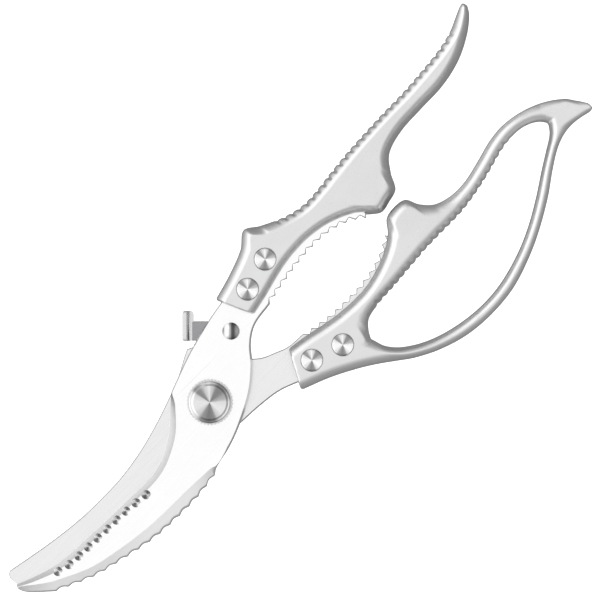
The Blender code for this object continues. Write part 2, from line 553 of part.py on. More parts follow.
# ---------------------------------------------------------------- latch
def latch(steel, polished, parent, hinge):
    """The lever lies along its own X, away from the pin, with the closing side towards +Y."""
    half, depth = LATCH_HALF_WIDTH * SCALE, LATCH_NOSE_DEPTH * SCALE
    start, end = (place * SCALE for place in LATCH_NOSE)
    inner, outer = (place * SCALE for place in TAB_REACH)
    hub_radius = LATCH_HUB_RADIUS * SCALE
    neck = math.asin(half / hub_radius)
    hub = arc(hub_radius, neck, 2 * math.pi - neck, 16)
    arm_end = (inner + outer) / 2
    arm = ((arm_end, -half), (arm_end, half), (end + GAP, half), (end, depth), (start, depth), (start - GAP, half))
    lever = object_from("latch_lever", prism([*hub, *arm], LATCH_BOTTOM, LATCH_TOP), steel, hinge, turn=LATCH_TILT)
    tab = cutter("latch_tab", latch_tab(inner, outer), parent=hinge, turn=LATCH_TILT)
    cut(lever, tab, "UNION")
    cut(lever, cutter("latch_bore", disc(LATCH_PIN_RADIUS + GAP, 0, HANDLE_THICK, 24), parent=hinge))
    pin_place = Vector(LATCH_PIN) * SCALE
    dome_low, tail_high = FRONT_TOP + GAP, LATCH_BOTTOM - GAP
    tail_low = tail_high - LATCH_TAIL_THICK
    profile = [(0, tail_low), (LATCH_DOME_RADIUS, tail_low), (LATCH_DOME_RADIUS, tail_high),
               (LATCH_PIN_RADIUS, tail_high), (LATCH_PIN_RADIUS, dome_low)]
    for n in range(6):
        angle = math.pi / 2 * n / 6
        profile.append((LATCH_DOME_RADIUS * math.cos(angle), dome_low + LATCH_DOME_HEIGHT * math.sin(angle)))
    profile.append((0, dome_low + LATCH_DOME_HEIGHT))
    object_from("latch_rivet", turned(profile, 24), polished, parent, (*pin_place, 0))
    washer("latch_washer", LATCH_WASHER_RADIUS, LATCH_PIN_RADIUS + GAP, LATCH_TOP + GAP, LATCH_WASHER_THICK, steel,
           parent, pin_place)


def latch_tab(inner, outer):
    """The thumb tab: the lever's end bent up, leaning outwards, with its corners rounded."""
    soft = 0.4
    section = [Vector((inner, LATCH_BOTTOM)), Vector((outer - TAB_BEND * 1.5, LATCH_BOTTOM))]
    section += arc(TAB_BEND, math.radians(-75), math.radians(-15), 4,
                   (outer - TAB_BEND * 1.6, LATCH_BOTTOM + TAB_BEND))
    section += [Vector((outer, TAB_TOP - soft)), Vector((outer - soft, TAB_TOP)),
                Vector((outer - LATCH_THICK + soft / 2, TAB_TOP)), Vector((outer - LATCH_THICK, TAB_TOP - soft)),
                Vector((inner + soft, LATCH_TOP + 3 * soft)), Vector((inner, LATCH_TOP + soft / 2))]
    low, high = (side * SCALE for side in TAB_SIDES)
    loops = []
    for side, share in ((low, 0.9), (low + 2 * soft, 1), (high - 2 * soft, 1), (high, 0.9)):
        loops.append([(p.x, side, LATCH_BOTTOM + (p.y - LATCH_BOTTOM) * share) for p in section])
    return stacked(loops)


# ---------------------------------------------------------------- assembly
def empty(name, place=(0.0, 0.0, 0.0)):
    made = bpy.data.objects.new(name, None)
    made.location = Vector(place) * 0.001
    bpy.context.collection.objects.link(made)
    return made


def build():
    for old in list(bpy.data.objects):
        bpy.data.objects.remove(old, do_unlink=True)
    front_half = empty("front_half")
    rear_half = empty("rear_half_axis")
    latch_axis = empty("latch_axis", (*(Vector(LATCH_PIN) * SCALE), 0))
    front_blade(material("front_blade_steel", (0.80, 0.80, 0.80), 0.28), front_half)
    rear_blade(material("rear_blade_steel", (0.76, 0.76, 0.77), 0.32), rear_half)
    thumb_handle(material("thumb_handle_casting", (0.74, 0.74, 0.73), 0.45), front_half)
    finger_handle(material("finger_handle_casting", (0.73, 0.73, 0.72), 0.46), rear_half)
    rivet_look = material("spun_rivet", (0.68, 0.68, 0.68), 0.22)
    for number, place in enumerate(resized(THUMB_RIVETS), 1):
        rivet(f"thumb_rivet_{number}", place, rivet_look, front_half)
    for number, place in enumerate(resized(FINGER_RIVETS), 1):
        rivet(f"finger_rivet_{number}", place, rivet_look, rear_half)
    pivot(material("turned_pivot", (0.62, 0.62, 0.63), 0.20), front_half)
    washer_look = material("washer_steel", (0.66, 0.66, 0.67), 0.35)
    hole = SHANK_RADIUS + GAP
    washer("front_washer", WASHER_RADIUS, hole, FRONT_TOP + GAP, WASHER_THICK, washer_look, front_half)
    washer("back_washer", WASHER_RADIUS, hole, REAR_BOTTOM - GAP - WASHER_THICK, WASHER_THICK, washer_look, front_half)
    torsion_spring(material("spring_wire", (0.55, 0.55, 0.56), 0.30), front_half)
    latch(material("latch_steel", (0.64, 0.64, 0.65), 0.30), material("latch_rivet_steel", (0.7, 0.7, 0.7), 0.15),
          front_half, latch_axis)


build()
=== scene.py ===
"""The looks of the poultry shears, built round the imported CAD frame.

Lengths inside the functions are millimetres, in the frame's own axes: +X runs from the pivot to the handles,
+Y to the thumb handle and +Z to the front face. Heights and rivet places are read from the frame.
"""

from math import asin, atan2, copysign, cos, pi, radians, sin, sqrt

import bmesh
import bpy
from mathutils import Matrix, Vector
from mathutils.geometry import delaunay_2d_cdt


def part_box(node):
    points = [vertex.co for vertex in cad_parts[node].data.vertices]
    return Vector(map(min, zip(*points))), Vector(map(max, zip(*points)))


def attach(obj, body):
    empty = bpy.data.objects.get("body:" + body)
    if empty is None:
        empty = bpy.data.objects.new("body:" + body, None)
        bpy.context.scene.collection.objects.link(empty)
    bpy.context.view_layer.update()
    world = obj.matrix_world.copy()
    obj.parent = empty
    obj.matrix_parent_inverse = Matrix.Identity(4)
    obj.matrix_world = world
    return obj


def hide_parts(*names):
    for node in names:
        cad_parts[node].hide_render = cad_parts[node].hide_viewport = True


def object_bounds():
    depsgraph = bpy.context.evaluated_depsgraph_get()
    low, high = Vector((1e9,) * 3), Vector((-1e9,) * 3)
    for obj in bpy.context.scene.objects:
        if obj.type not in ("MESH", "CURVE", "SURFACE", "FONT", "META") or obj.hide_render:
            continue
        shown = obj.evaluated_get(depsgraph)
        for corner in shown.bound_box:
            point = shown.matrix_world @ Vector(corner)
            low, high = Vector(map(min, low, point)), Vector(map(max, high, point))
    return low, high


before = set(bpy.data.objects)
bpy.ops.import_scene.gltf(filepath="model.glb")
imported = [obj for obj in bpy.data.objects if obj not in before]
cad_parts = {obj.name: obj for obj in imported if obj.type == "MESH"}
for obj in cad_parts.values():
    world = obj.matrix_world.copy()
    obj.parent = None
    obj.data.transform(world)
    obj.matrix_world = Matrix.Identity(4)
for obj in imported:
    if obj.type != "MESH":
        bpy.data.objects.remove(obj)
cad_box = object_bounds()

# -------- sizes, in millimetres
GAP = 0.3
EDGE_LAND = 0.4
EDGE_BREAK = 0.4
BACK_BREAK = 0.3
WIDE_BREAK = 1.7  # times the plain break, along edges that are not cut with
FINE_BREAK = 0.12  # on ground edges
HOLE_BREAK = 0.15
HOLE_STEPS = 48
PIN_BORE = 1.9
RIVET_BORE = 2.5
HANDLE_ROUND = 3.2
TIP_HALF_THICK = 2.0
TOOTH_PITCH = 3.4
TOOTH_DEPTH = 1.3
SCALLOP_COUNT = 15
SCALLOP_DEPTH = 0.72
DIMPLE_COUNT = 10
DIMPLE_RADIUS = 1.5
DIMPLE_WALL = 1.5
DIMPLE_DEPTH = 2.6
# The way of the cups' painted dark reflection ray.
DIMPLE_PAINTED_RAY = radians(15)
DIMPLE_START = 0.06  # turns the cups' corners off the plate's own edges, which the cut needs
RIB_PITCH = 2.9
RIB_DEPTH = 0.55
CORNER_POWER = 1.4  # 2 would be a plain round fillet and 1 a flat chamfer
END_ROUND = 1.0
GRIP_BLEND = (84.0, 120.0)
GRIP_THIN = 3.0
HOOK_BLEND = (144.0, 156.0)
SHANK_RADIUS = 4.0
SPRING_ANGLES = (radians(-20), radians(460))
SPRING_WIRE = 0.8
SPRING_RADIUS = 5.4
SPRING_LEG_END = 8.6
LATCH_TILT = radians(135)
LATCH_HUB_RADIUS = 4.6
LATCH_HALF_WIDTH = 3.33
LATCH_NOSE = (8.3, 10.1)
LATCH_NOSE_DEPTH = 4.3
TAB_REACH = (12.8, 16.7)
TAB_SIDES = (-6.9, 3.4)
TAB_SOFT = 1.3
TAB_BEND = 2.2
EAR_LEFT = radians(69)
RIM_START = radians(12)
NOTCH_DEPTH = 1.6
DOME_RADIUS = 2.95
DOME_LIP = 0.12

# -------- the blades' material slots
PLAIN_SLOT, KEEN_SLOT, GROUND_SLOT = 0, 1, 2
# The cups' slots for their painted reflection, from the darkest, with how near a face must lie to the painted dark ray
# to take each.
CUP_PAINTED_RAY_SLOTS = ((5, 0.82), (4, 0.55), (3, -1.0))


def heights(node):
    """A node's lowest and highest places, in millimetres."""
    low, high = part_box(node)
    return low.z * 1000, high.z * 1000


def centre(node):
    """The middle of a node's box in the shears' own plane, in millimetres."""
    low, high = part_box(node)
    return Vector(((low.x + high.x) * 500, (low.y + high.y) * 500))


FRONT_LOW, FRONT_HIGH = heights("front_blade")
REAR_LOW, REAR_HIGH = heights("rear_blade")
HANDLE_LOW, HANDLE_HIGH = heights("thumb_handle")
MID = (HANDLE_LOW + HANDLE_HIGH) / 2
THUMB_RIVETS = [centre("thumb_rivet_1_front"), centre("thumb_rivet_2_front")]
FINGER_RIVETS = [centre("finger_rivet_1_front"), centre("finger_rivet_2_front")]
LATCH_PIN = centre("latch_rivet")

# -------- outlines
# They follow the CAD's. The thumb handle's places are paired squarer here, and the rear tip is ground here only.
DIMPLE_ROW = ((-37.6, -6.9), (-46.4, -6), (-55.1, -5.8), (-63.8, -5.6), (-72.7, -5.2), (-77.2, -4.2))
FRONT_BACK = ((26.7, 21.3), (19.5, 20), (7.2, 16.8), (-2.8, 13.3), (-7, 11.7))
FRONT_EDGE = (
    (-7, 11.7), (-10.6, 8.6), (-18.5, 1.7), (-29.6, -3.5), (-44.2, -3.8), (-61, -3.3), (-76, -2.2), (-85.5, 0.6),
    (-90.7, 2.7),
)
FRONT_EDGE_FACE = (
    (-7, 11.5), (-9.1, 7.7), (-17.1, -0.2), (-29.1, -5.5), (-44.2, -5.8), (-61.1, -5.3), (-76, -4.2), (-85.1, -1),
    (-90.3, 1.6),
)
FRONT_TIP = ((-90.7, 2.7), (-91.3, 1.2), (-90.4, -1), (-87.9, -3.8), (-82.7, -8.6))
FRONT_TIP_FACE = ((-90.3, 1.6), (-90.2, 1.4), (-89.3, 0.8), (-84.6, -2.9), (-80.6, -5.6))
SPINE_CREST = (
    (-82.7, -8.6), (-70, -14.2), (-60, -16.8), (-48.1, -19.3), (-39.3, -20.1), (-26, -20.1), (-16.7, -18.9),
)
SPINE_FACE = (
    (-80.6, -5.6), (-68.6, -11.1), (-57, -13.7), (-47.2, -15.1), (-39.7, -15.6), (-26, -15.8), (-15.6, -16.2),
)
FRONT_THROAT = (
    (-16.7, -18.9), (-14.2, -17.4), (-6.5, -15.6), (1.9, -12.5), (12, -7.2), (19.1, -1.3), (24, 4.3), (29.3, 7.7),
    (38, 9.1),
)
FRONT_THROAT_FACE = ((-15.6, -16.2), (-13.6, -16.8), *FRONT_THROAT[2:])
FRONT_TEETH = ((38, 9.1), (48.6, 11.1), (60.2, 12.5), (69.7, 12), (77.1, 9.7), (81.6, 6.6))
FRONT_TANG = ((83, 7.8), (83, 11), (75, 15.8), (66, 18.5), (56, 21.5), (48, 26.6), (40, 24.8), (30, 22), (26.7, 21.3))
REAR_SPINE = (
    (4.8, 17.2), (-2.8, 13.3), (-16.8, 8.2), (-28.6, 5), (-40, 3.2), (-50, 2.9), (-59.4, 3.1), (-72.4, 4.6),
    (-89.3, 7.6),
)
REAR_TIP = ((-89.3, 7.6), (-90.6, 6.2), (-90.6, 3.2), (-89, 0.2))
REAR_TIP_FACE = ((-89.3, 7.6), (-90.6, 6.2), (-90.3, 3.7), (-88.2, 2))
REAR_EDGE = (
    (-89, 0.2), (-84, -3.6), (-69.2, -9), (-49.3, -11.2), (-30.3, -11.4), (-15.6, -10.4), (-6.5, -12.3), (1.9, -12.5),
)
REAR_EDGE_FACE = (
    (-88.2, 2), (-83.2, -1.4), (-68.8, -6.6), (-49.1, -8.7), (-30.3, -8.9), (-15.8, -8.6), (-6.5, -12.3),
    (1.9, -12.5),
)
REAR_HEEL = ((1.9, -12.5), (11.1, -13), (19.5, -14.2), (27.4, -17.2))
REAR_TANG = (
    (27.4, -17.2), (33.4, -19.2), (40.9, -21.4), (46.2, -22.1), (52, -18.3), (57, -13.9), (64.9, -12.2),
    (72.1, -11.1), (79.1, -8.4), (83, -5.2), (82.8, -2.9),
)
REAR_TEETH = ((82.2, -1.8), (76.5, -4.9), (70.1, -6.9), (63.2, -7.8), (50.5, -7.7), (38.7, -6))
REAR_THROAT = ((38.7, -6), (32, -5.5), (27.4, -3.8), (23.1, -1.9), (20.2, 0.4))
THUMB_STATIONS = (
    ((25.8, 23.3), (31.8, 9.8)), ((34.4, 25.7), (38.4, 11.2)), ((43.8, 29.3), (46.5, 13.3)),
    ((49.3, 33.3), (51.5, 14.4)), ((54.5, 30.3), (56.5, 15)), ((62, 26.9), (63.2, 15.1)), ((70, 25.1), (71.4, 13.7)),
    ((79, 25.6), (79.5, 10.2)), ((82.6, 26.1), (84.4, 6)), ((84.6, 26.3), (87.2, 4.3)), ((86.6, 26.5), (91.2, 5)),
    ((89, 26.75), (95.8, 6.5)), ((93.2, 27.15), (98.6, 11.5)), ((99.5, 27.55), (103, 16.6)),
    ((109.5, 27.98), (111, 19.1)), ((121, 28.2), (120.7, 19.7)), ((131, 28.9), (132, 20.1)),
    ((139.5, 29.8), (141.5, 22.2)), ((147, 31.5), (149.5, 26)), ((152.5, 33.9), (155, 30.2)),
    ((155.3, 35.1), (157.1, 33.3)), ((156.4, 35.3), (157, 34.6)),
)
LOOP_STATIONS = (
    ((24.7, -19.1), (29.3, -9.9)), ((34.7, -23), (38.5, -10.5)), ((44, -27.8), (47.5, -14)),
    ((50, -31.6), (53.8, -23.5)), ((55, -35.2), (55.6, -28.6)), ((60, -38.7), (59.6, -33.2)),
    ((68, -42.7), (67.5, -37.9)), ((78, -45.7), (77.5, -41)), ((89, -46.6), (88.5, -42.3)),
    ((100.5, -45.5), (98.5, -41.5)), ((112, -41.8), (109.5, -38.5)), ((121.2, -37.5), (118.6, -34.6)),
    ((130.6, -32), (127.7, -29.4)), ((138.5, -26.4), (135.6, -24.2)), ((144.7, -22.6), (141.5, -20.5)),
    ((150, -20.7), (146.4, -17.3)), ((154.6, -20.4), (150.5, -12.5)), ((158.6, -21), (156.9, -11.4)),
    ((161.2, -21.6), (160.7, -15.8)), ((162.7, -21.3), (162.8, -19.2)),
)
BRIDGE_STATIONS = (
    ((31.5, -6.1), (26.4, -15.6)), ((38.7, -7.2), (36, -20)), ((46, -8.7), (46, -24.5)),
    ((51.3, -9.6), (52.2, -25.6)), ((54.8, -9.9), (55.4, -20.9)), ((58, -10.1), (58.4, -18.1)),
    ((64.7, -9.9), (64, -17)), ((72, -8.2), (72.5, -16.5)), ((78.6, -5.5), (79.5, -15.9)),
    ((83.4, -2.2), (84.5, -15.5)), ((86.8, 1.7), (88, -15.2)), ((91.5, 2.6), (91.8, -15.1)),
    ((95.6, 1.7), (95.5, -15)), ((97.8, -2.6), (98.5, -15)), ((101.5, -6.4), (102.5, -15)),
    ((107.5, -8.3), (108, -14.7)), ((114.3, -8.3), (114.5, -13.7)), ((122, -6.6), (122.5, -11.9)),
    ((130, -4.5), (131, -9.6)), ((136.5, -3.8), (137.5, -8.8)), ((143, -4.6), (142.5, -9.5)),
    ((149, -6.5), (146.8, -11.8)), ((154, -9.1), (150, -16)), ((158, -12.3), (154.2, -18.2)),
    ((160.4, -15.7), (157.2, -20.2)),
)


# -------- curves
def smooth(points, steps=12):
    """A smooth curve through the points, as a list that holds both ends."""
    known = [Vector(p) for p in points]
    ends = [known[0] * 2 - known[1], *known, known[-1] * 2 - known[-2]]
    found = []
    for before, start, end, after in zip(ends, ends[1:], ends[2:], ends[3:]):
        span = max((end - start).length, 1e-6)
        leave = (end - before) / (1 + (start - before).length / span)
        arrive = (after - start) / (1 + (after - end).length / span)
        for step in range(steps):
            t = step / steps
            found.append(
                start * (2 * t**3 - 3 * t**2 + 1)
                + leave * (t**3 - 2 * t**2 + t)
                + end * (3 * t**2 - 2 * t**3)
                + arrive * (t**3 - t**2)
            )
    return [*found, known[-1]]


def arc(radius, start, end, steps, middle=(0.0, 0.0)):
    angles = [start + (end - start) * n / steps for n in range(steps + 1)]
    return [Vector((middle[0] + radius * cos(a), middle[1] + radius * sin(a))) for a in angles]


def circle(radius, middle, steps):
    return arc(radius, 0, 2 * pi * (steps - 1) / steps, steps - 1, middle)


def along(curve, distance):
    """The place and the direction at a distance along a list of points."""
    for start, end in zip(curve, curve[1:]):
        length = (end - start).length
        if distance <= length or end is curve[-1]:
            return start.lerp(end, distance / length), (end - start).normalized()
        distance -= length


def length_of(curve):
    return sum((end - start).length for start, end in zip(curve, curve[1:]))


def ease(value, low, high):
    """0 below low, 1 above high, and smooth between them."""
    share = min(max((value - low) / (high - low), 0.0), 1.0)
    return share * share * (3 - 2 * share)


def saw_teeth(crest, pitch, depth, side):
    """Pointed teeth with their tips on the crest and slightly blunt valleys."""
    total = length_of(crest)
    count = max(1, round(total / pitch))
    found = []
    for tooth in range(count):
        tip, heading = along(crest, total * tooth / count)
        found.append(tip)
        for place, share in ((0.41, 0.97), (0.47, 1.0)):
            low, heading = along(crest, total * (tooth + place) / count)
            found.append(low + Vector((-heading.y, heading.x)) * depth * side * share)
    return [*found, crest[-1]]


def scallops(crest, face, steps=10):
    """Hollow bites between tips on the crest, the matching places on the ground strip's upper border, and how far
    up the strip each bite reaches."""
    outer, inner, lifts = [], [], []
    crest_length, face_length = length_of(crest), length_of(face)
    for n in range(SCALLOP_COUNT * steps + 1):
        share = n / (SCALLOP_COUNT * steps)
        place, heading = along(crest, crest_length * share)
        bite = SCALLOP_DEPTH * sin(pi * (n % steps) / steps) ** 1.25
        outer.append(place + Vector((-heading.y, heading.x)) * bite)
        inner.append(along(face, face_length * share)[0])
        lifts.append(bite / max((inner[-1] - place).length, bite, 0.1))
    return outer, inner, lifts


def joined(runs):
    """One closed outline, as (outer place, face place, hollow, lift), from runs of the first two and the hollow.
    Hollow says how concave the grinding is, and lift how far up the ground strip the outer place lies."""
    found = []
    for outer_run, face_run, hollow, *lifts in runs:
        for n, (place, above) in enumerate(zip(outer_run, face_run)):
            if not found or (place - found[-1][0]).length > 1e-3:
                found.append((place, above, hollow, lifts[0][n] if lifts else 0.0))
    if (found[0][0] - found[-1][0]).length < 1e-3:
        found.pop()
    return found


def plain(runs):
    """A closed outline from runs of places, with no grinding."""
    return [entry[0] for entry in joined([(run, run, 0) for run in runs])]


def moved_in(points, distances):
    """A closed outline moved inwards, by a distance of its own at each point."""
    count = len(points)
    area = sum(points[n - 1].x * points[n].y - points[n].x * points[n - 1].y for n in range(count))
    turn = 1 if area > 0 else -1
    found = []
    for n, place in enumerate(points):
        one = (place - points[n - 1]).normalized()
        two = (points[(n + 1) % count] - place).normalized()
        heading = (one + two).normalized()
        stretch = min(1 / max(heading.dot(two), 0.5), 1.6)
        room = min((place - points[n - 1]).length, (points[(n + 1) % count] - place).length)
        reach = copysign(min(abs(distances[n]), room), distances[n])
        found.append(place + Vector((-heading.y, heading.x)) * turn * reach * stretch)
    return found


# -------- meshes
def ring_of(builder, points, height):
    return [builder.verts.new((p[0], p[1], height)) for p in points]


def walls(builder, rings):
    """Quads from each closed ring to the next, or triangles to a ring of a single point."""
    for low, high in zip(rings, rings[1:]):
        count = max(len(low), len(high))
        for n in range(count):
            after = (n + 1) % count
            corners = [low[n % len(low)], low[after % len(low)], high[after % len(high)], high[n % len(high)]]
            builder.faces.new(list(dict.fromkeys(corners)))


def cap(builder, rings, plane="xy"):
    """A flat face inside the first ring and outside the others."""
    places, edges, start = [], [], 0
    for ring in rings:
        places += [getattr(v.co, plane) for v in ring]
        edges += [(start + n, start + (n + 1) % len(ring)) for n in range(len(ring))]
        start += len(ring)
    every = [(v, number) for number, ring in enumerate(rings) for v in ring]
    found = delaunay_2d_cdt(places, edges, [], 2, 1e-7)
    for corners in found[2]:
        known = [every[found[3][n][0]] for n in corners]
        if len({number for _, number in known}) > 1 or known[0][1] == 0:
            builder.faces.new([v for v, _ in known])


def linked(name, data):
    made = bpy.data.objects.new(name, data)
    bpy.context.collection.objects.link(made)
    return made


def piece_from(name, builder, look, sharp=30.0, place=(0.0, 0.0, 0.0), turn=0.0):
    """Write a bmesh made in millimetres to a new object, placed in millimetres."""
    bmesh.ops.recalc_face_normals(builder, faces=builder.faces)
    bmesh.ops.transform(builder, matrix=Matrix.Scale(0.001, 4), verts=builder.verts)
    mesh = bpy.data.meshes.new(name)
    builder.to_mesh(mesh)
    builder.free()
    finish_mesh(mesh, sharp, *([look] if look else []))
    made = linked(name, mesh)
    made.location = Vector(place) * 0.001
    made.rotation_euler = (0.0, 0.0, turn)
    return made


def finish_mesh(mesh, sharp, *looks):
    """Shade a mesh and give it its looks. Clearing the materials would reset the faces' slots, so they are kept."""
    mesh.shade_smooth()
    mesh.set_sharp_from_angle(angle=radians(sharp))
    places = [face.material_index for face in mesh.polygons]
    mesh.materials.clear()
    for look in looks:
        mesh.materials.append(look)
    for face, place in zip(mesh.polygons, places):
        face.material_index = place


def belongs(piece, body, slot, *nodes):
    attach(piece, body)
    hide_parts(*nodes)


def applied(made, look, sharp, *more_looks):
    """Turn an object's modifiers into its mesh, and drop the cutters."""
    bpy.context.view_layer.update()
    result = bpy.data.meshes.new_from_object(made.evaluated_get(bpy.context.evaluated_depsgraph_get()))
    cutters = [step.object for step in made.modifiers if step.type == "BOOLEAN"]
    made.modifiers.clear()
    made.data = result
    finish_mesh(result, sharp, look, *more_looks)
    for tool in cutters:
        bpy.data.objects.remove(tool)


def cut(target, builder, operation="DIFFERENCE", place=(0.0, 0.0, 0.0), turn=0.0):
    """Add a boolean with a tool made from a bmesh. The tool gets empty slots, so that its faces keep their own."""
    tool = piece_from(target.name + "_cutter", builder, None, 30.0, place, turn)
    step = target.modifiers.new(tool.name, "BOOLEAN")
    step.operation = operation
    step.solver = "EXACT"
    step.object = tool
    for _ in target.data.materials:
        tool.data.materials.append(None)
    return step


def stacked(loops, flat_ends=False):
    """A closed solid through loops of 3-D points that all have the same number of points. Flat ends are filled in
    the XZ plane, and others are fans."""
    builder = bmesh.new()
    rings = [[builder.verts.new(p) for p in loop] for loop in loops]
    walls(builder, rings)
    for ring in (rings[0], rings[-1]):
        if flat_ends:
            cap(builder, [ring], "xz")
        else:
            walls(builder, (ring, [builder.verts.new(sum((v.co for v in ring), Vector()) / len(ring))]))
    return builder


def prism(points, low, high, edge=0.0):
    """A flat plate, with its long edges broken if an edge is given."""
    builder = bmesh.new()
    steps = [(points, low + edge), (points, high - edge)]
    if edge:
        inside = moved_in(points, [edge] * len(points))
        steps = [(inside, low), *steps, (inside, high)]
    rings = [ring_of(builder, outline, height) for outline, height in steps]
    walls(builder, rings)
    cap(builder, rings[:1])
    cap(builder, rings[-1:])
    return builder


def turned(profile, segments=96, closed=False, wave=None):
    """A turned solid from (radius, height) pairs. A wave function may change the radius by angle."""
    builder = bmesh.new()
    rows = []
    for radius, height in profile:
        if radius == 0:
            rows.append([builder.verts.new((0, 0, height))])
            continue
        row = []
        for n in range(segments):
            angle = 2 * pi * n / segments
            reach = radius + (wave(radius, height, angle) if wave else 0)
            row.append(builder.verts.new((reach * cos(angle), reach * sin(angle), height)))
        rows.append(row)
    walls(builder, [*rows, rows[0]] if closed else rows)
    return builder


def rounded(radius, low, high, soft, steps=4):
    """The outer part of a turned profile, from bottom to top, with both corners rounded."""
    found = []
    for n in range(steps + 1):
        angle = -pi / 2 + pi / 2 * n / steps
        found.append((radius - soft + soft * cos(angle), low + soft + soft * sin(angle)))
    for n in range(steps + 1):
        angle = pi / 2 * n / steps
        found.append((radius - soft + soft * cos(angle), high - soft + soft * sin(angle)))
    return found


def tube(points, radius, sides=16):
    places = [Vector(p) for p in points]
    loops = []
    for n, place in enumerate(places):
        heading = (places[min(n + 1, len(places) - 1)] - places[max(n - 1, 0)]).normalized()
        across = heading.cross(Vector((0, 0, 1))).normalized()
        up = across.cross(heading)
        angles = [2 * pi * k / sides for k in range(sides)]
        loops.append([place + across * radius * cos(a) + up * radius * sin(a) for a in angles])
    return stacked(loops)


# -------- materials
def rgb(value):
    """A colour from a colour or a grey value."""
    return tuple(value) if isinstance(value, (tuple, list)) else (value,) * 3


def ramp(tree, source, stops, interpolation="LINEAR"):
    """A colour ramp. Each stop is a place with a grey value or a colour."""
    made = tree.nodes.new("ShaderNodeValToRGB")
    made.color_ramp.interpolation = interpolation
    stops = [(place, (*rgb(value), 1.0)) for place, value in stops]
    points = made.color_ramp.elements
    for end in (0, -1):
        points[end].position, points[end].color = stops[end]
    for place, value in stops[1:-1]:
        points.new(place).color = value
    tree.links.new(source, made.inputs["Fac"])
    return made.outputs["Color"]


class Look:
    """A node material on one Principled shader."""

    def __init__(self, name, colour, roughness):
        self.made = bpy.data.materials.new(name)
        self.made.use_nodes = True
        self.tree = self.made.node_tree
        self.shader = self.tree.nodes["Principled BSDF"]
        self.shader.inputs["Metallic"].default_value = 1.0
        self.base, self.rough = rgb(colour), roughness
        self.shader.inputs["Base Color"].default_value = (*self.base, 1.0)
        self.shader.inputs["Roughness"].default_value = roughness
        self.coords = self.tree.nodes.new("ShaderNodeTexCoord").outputs["Object"]
        self.bumps = None

    def node(self, kind, source, socket="Vector", out="Fac", **values):
        """A new node's output. Names in lower case are its settings, and others its sockets, with _ for a space."""
        made = self.tree.nodes.new("ShaderNode" + kind)
        for name, value in values.items():
            if name.islower():
                setattr(made, name, value)
            else:
                made.inputs[name.replace("_", " ")].default_value = value
        self.tree.links.new(source, made.inputs[socket])
        return made.outputs[out]

    def stretched(self, scale, turn=0.0, shift=0.0):
        """The object's coordinates, scaled and turned about Z."""
        return self.node("Mapping", self.coords, "Vector", "Vector", Scale=scale, Rotation=(0.0, 0.0, turn),
                         Location=(shift, shift, 0.0))

    def noise(self, vector, scale=1.0, detail=4.0, rough=0.6):
        return self.node("TexNoise", vector, Scale=scale, Detail=detail, Roughness=rough)

    def bands(self, source, stops, dark, light):
        return ramp(self.tree, source, [(place, dark + (light - dark) * share) for place, share in stops], "EASE")

    def tint(self, source, dark, light=1.0, start=0.3, end=0.7):
        return ramp(self.tree, source, ((start, dark), (end, light)))

    def shaded(self, source, low, high):
        """The look's own colour, times low to high as the source changes."""
        return self.tint(source, [c * low for c in self.base], [min(c * high, 1) for c in self.base])

    def colour(self, shade, *others):
        """The product of one or more colours, as the base colour."""
        for other in others:
            made = self.tree.nodes.new("ShaderNodeMix")
            made.data_type = "RGBA"
            made.blend_type = "MULTIPLY"
            made.inputs[0].default_value = 1.0
            self.tree.links.new(shade, made.inputs[6])
            self.tree.links.new(other, made.inputs[7])
            shade = made.outputs[2]
        self.tree.links.new(shade, self.shader.inputs["Base Color"])

    def roughness(self, source, less, more):
        """A roughness from less under the look's own to more above it."""
        spread = self.node("MapRange", source, "Value", "Result", From_Min=0.3, From_Max=0.7,
                           To_Min=self.rough - less, To_Max=self.rough + more)
        self.tree.links.new(spread, self.shader.inputs["Roughness"])

    def bump(self, source, strength, distance):
        made = self.node("Bump", source, "Height", "Normal", Strength=strength, Distance=distance)
        if self.bumps:
            self.tree.links.new(self.bumps, made.node.inputs["Normal"])
        self.bumps = made
        self.tree.links.new(self.bumps, self.shader.inputs["Normal"])


def brushed(name, colour, roughness, turn, strength=1.0):
    """Steel with fine straight grinding marks, a few longer scratches and slow cloudy changes."""
    look = Look(name, colour, roughness)
    grain = look.noise(look.stretched((60, 5200, 900), turn), 1.0, 5.0, 0.7)
    scratch = look.noise(look.stretched((22, 1500, 300), turn + 0.12), 1.0, 2.0, 0.5)
    cloud = look.noise(look.coords, 55.0, 3.0)
    look.colour(look.shaded(grain, 1 - 0.07 * strength, 1.02), look.tint(cloud, 0.975),
                look.tint(scratch, 0.93, 1.0, 0.27, 0.34))
    look.roughness(grain, 0.06, 0.09)
    look.bump(grain, 0.10 * strength, 0.00002)
    look.bump(scratch, 0.06 * strength, 0.00003)
    return look.made


def blasted(name, colour, roughness):
    """Cast aluminium with a fine bead-blasted skin, faint flow marks and a few pits."""
    look = Look(name, colour, roughness)
    beads = look.noise(look.coords, 3000.0, 3.0, 0.6)
    flow = look.noise(look.stretched((60, 180, 60)), 1.0, 4.0, 0.55)
    pits = look.noise(look.coords, 900.0, 1.0, 0.4)
    look.colour(look.shaded(beads, 0.93, 1.04), look.tint(flow, (0.965, 0.965, 0.97)),
                look.tint(pits, 0.9, 1.0, 0.2, 0.26))
    look.roughness(beads, 0.05, 0.07)
    look.bump(beads, 0.16, 0.00005)
    look.bump(flow, 0.10, 0.0002)
    return look.made


# Painted reflections on turned faces: bright and dark rays painted into the colour, as (place in one turn, share from
# dark to light).
PAINTED_RAY_LOBES = (
    (0.000, 0.80), (0.055, 0.32), (0.115, 0.20), (0.165, 0.26), (0.215, 0.80), (0.262, 1.00), (0.300, 1.00),
    (0.372, 0.92), (0.425, 0.50), (0.500, 0.24), (0.545, 0.24), (0.600, 0.72), (0.632, 1.00), (0.670, 0.80),
    (0.735, 0.30), (0.765, 0.26), (0.805, 0.85), (0.860, 1.00), (0.930, 1.00), (1.000, 0.80),
)


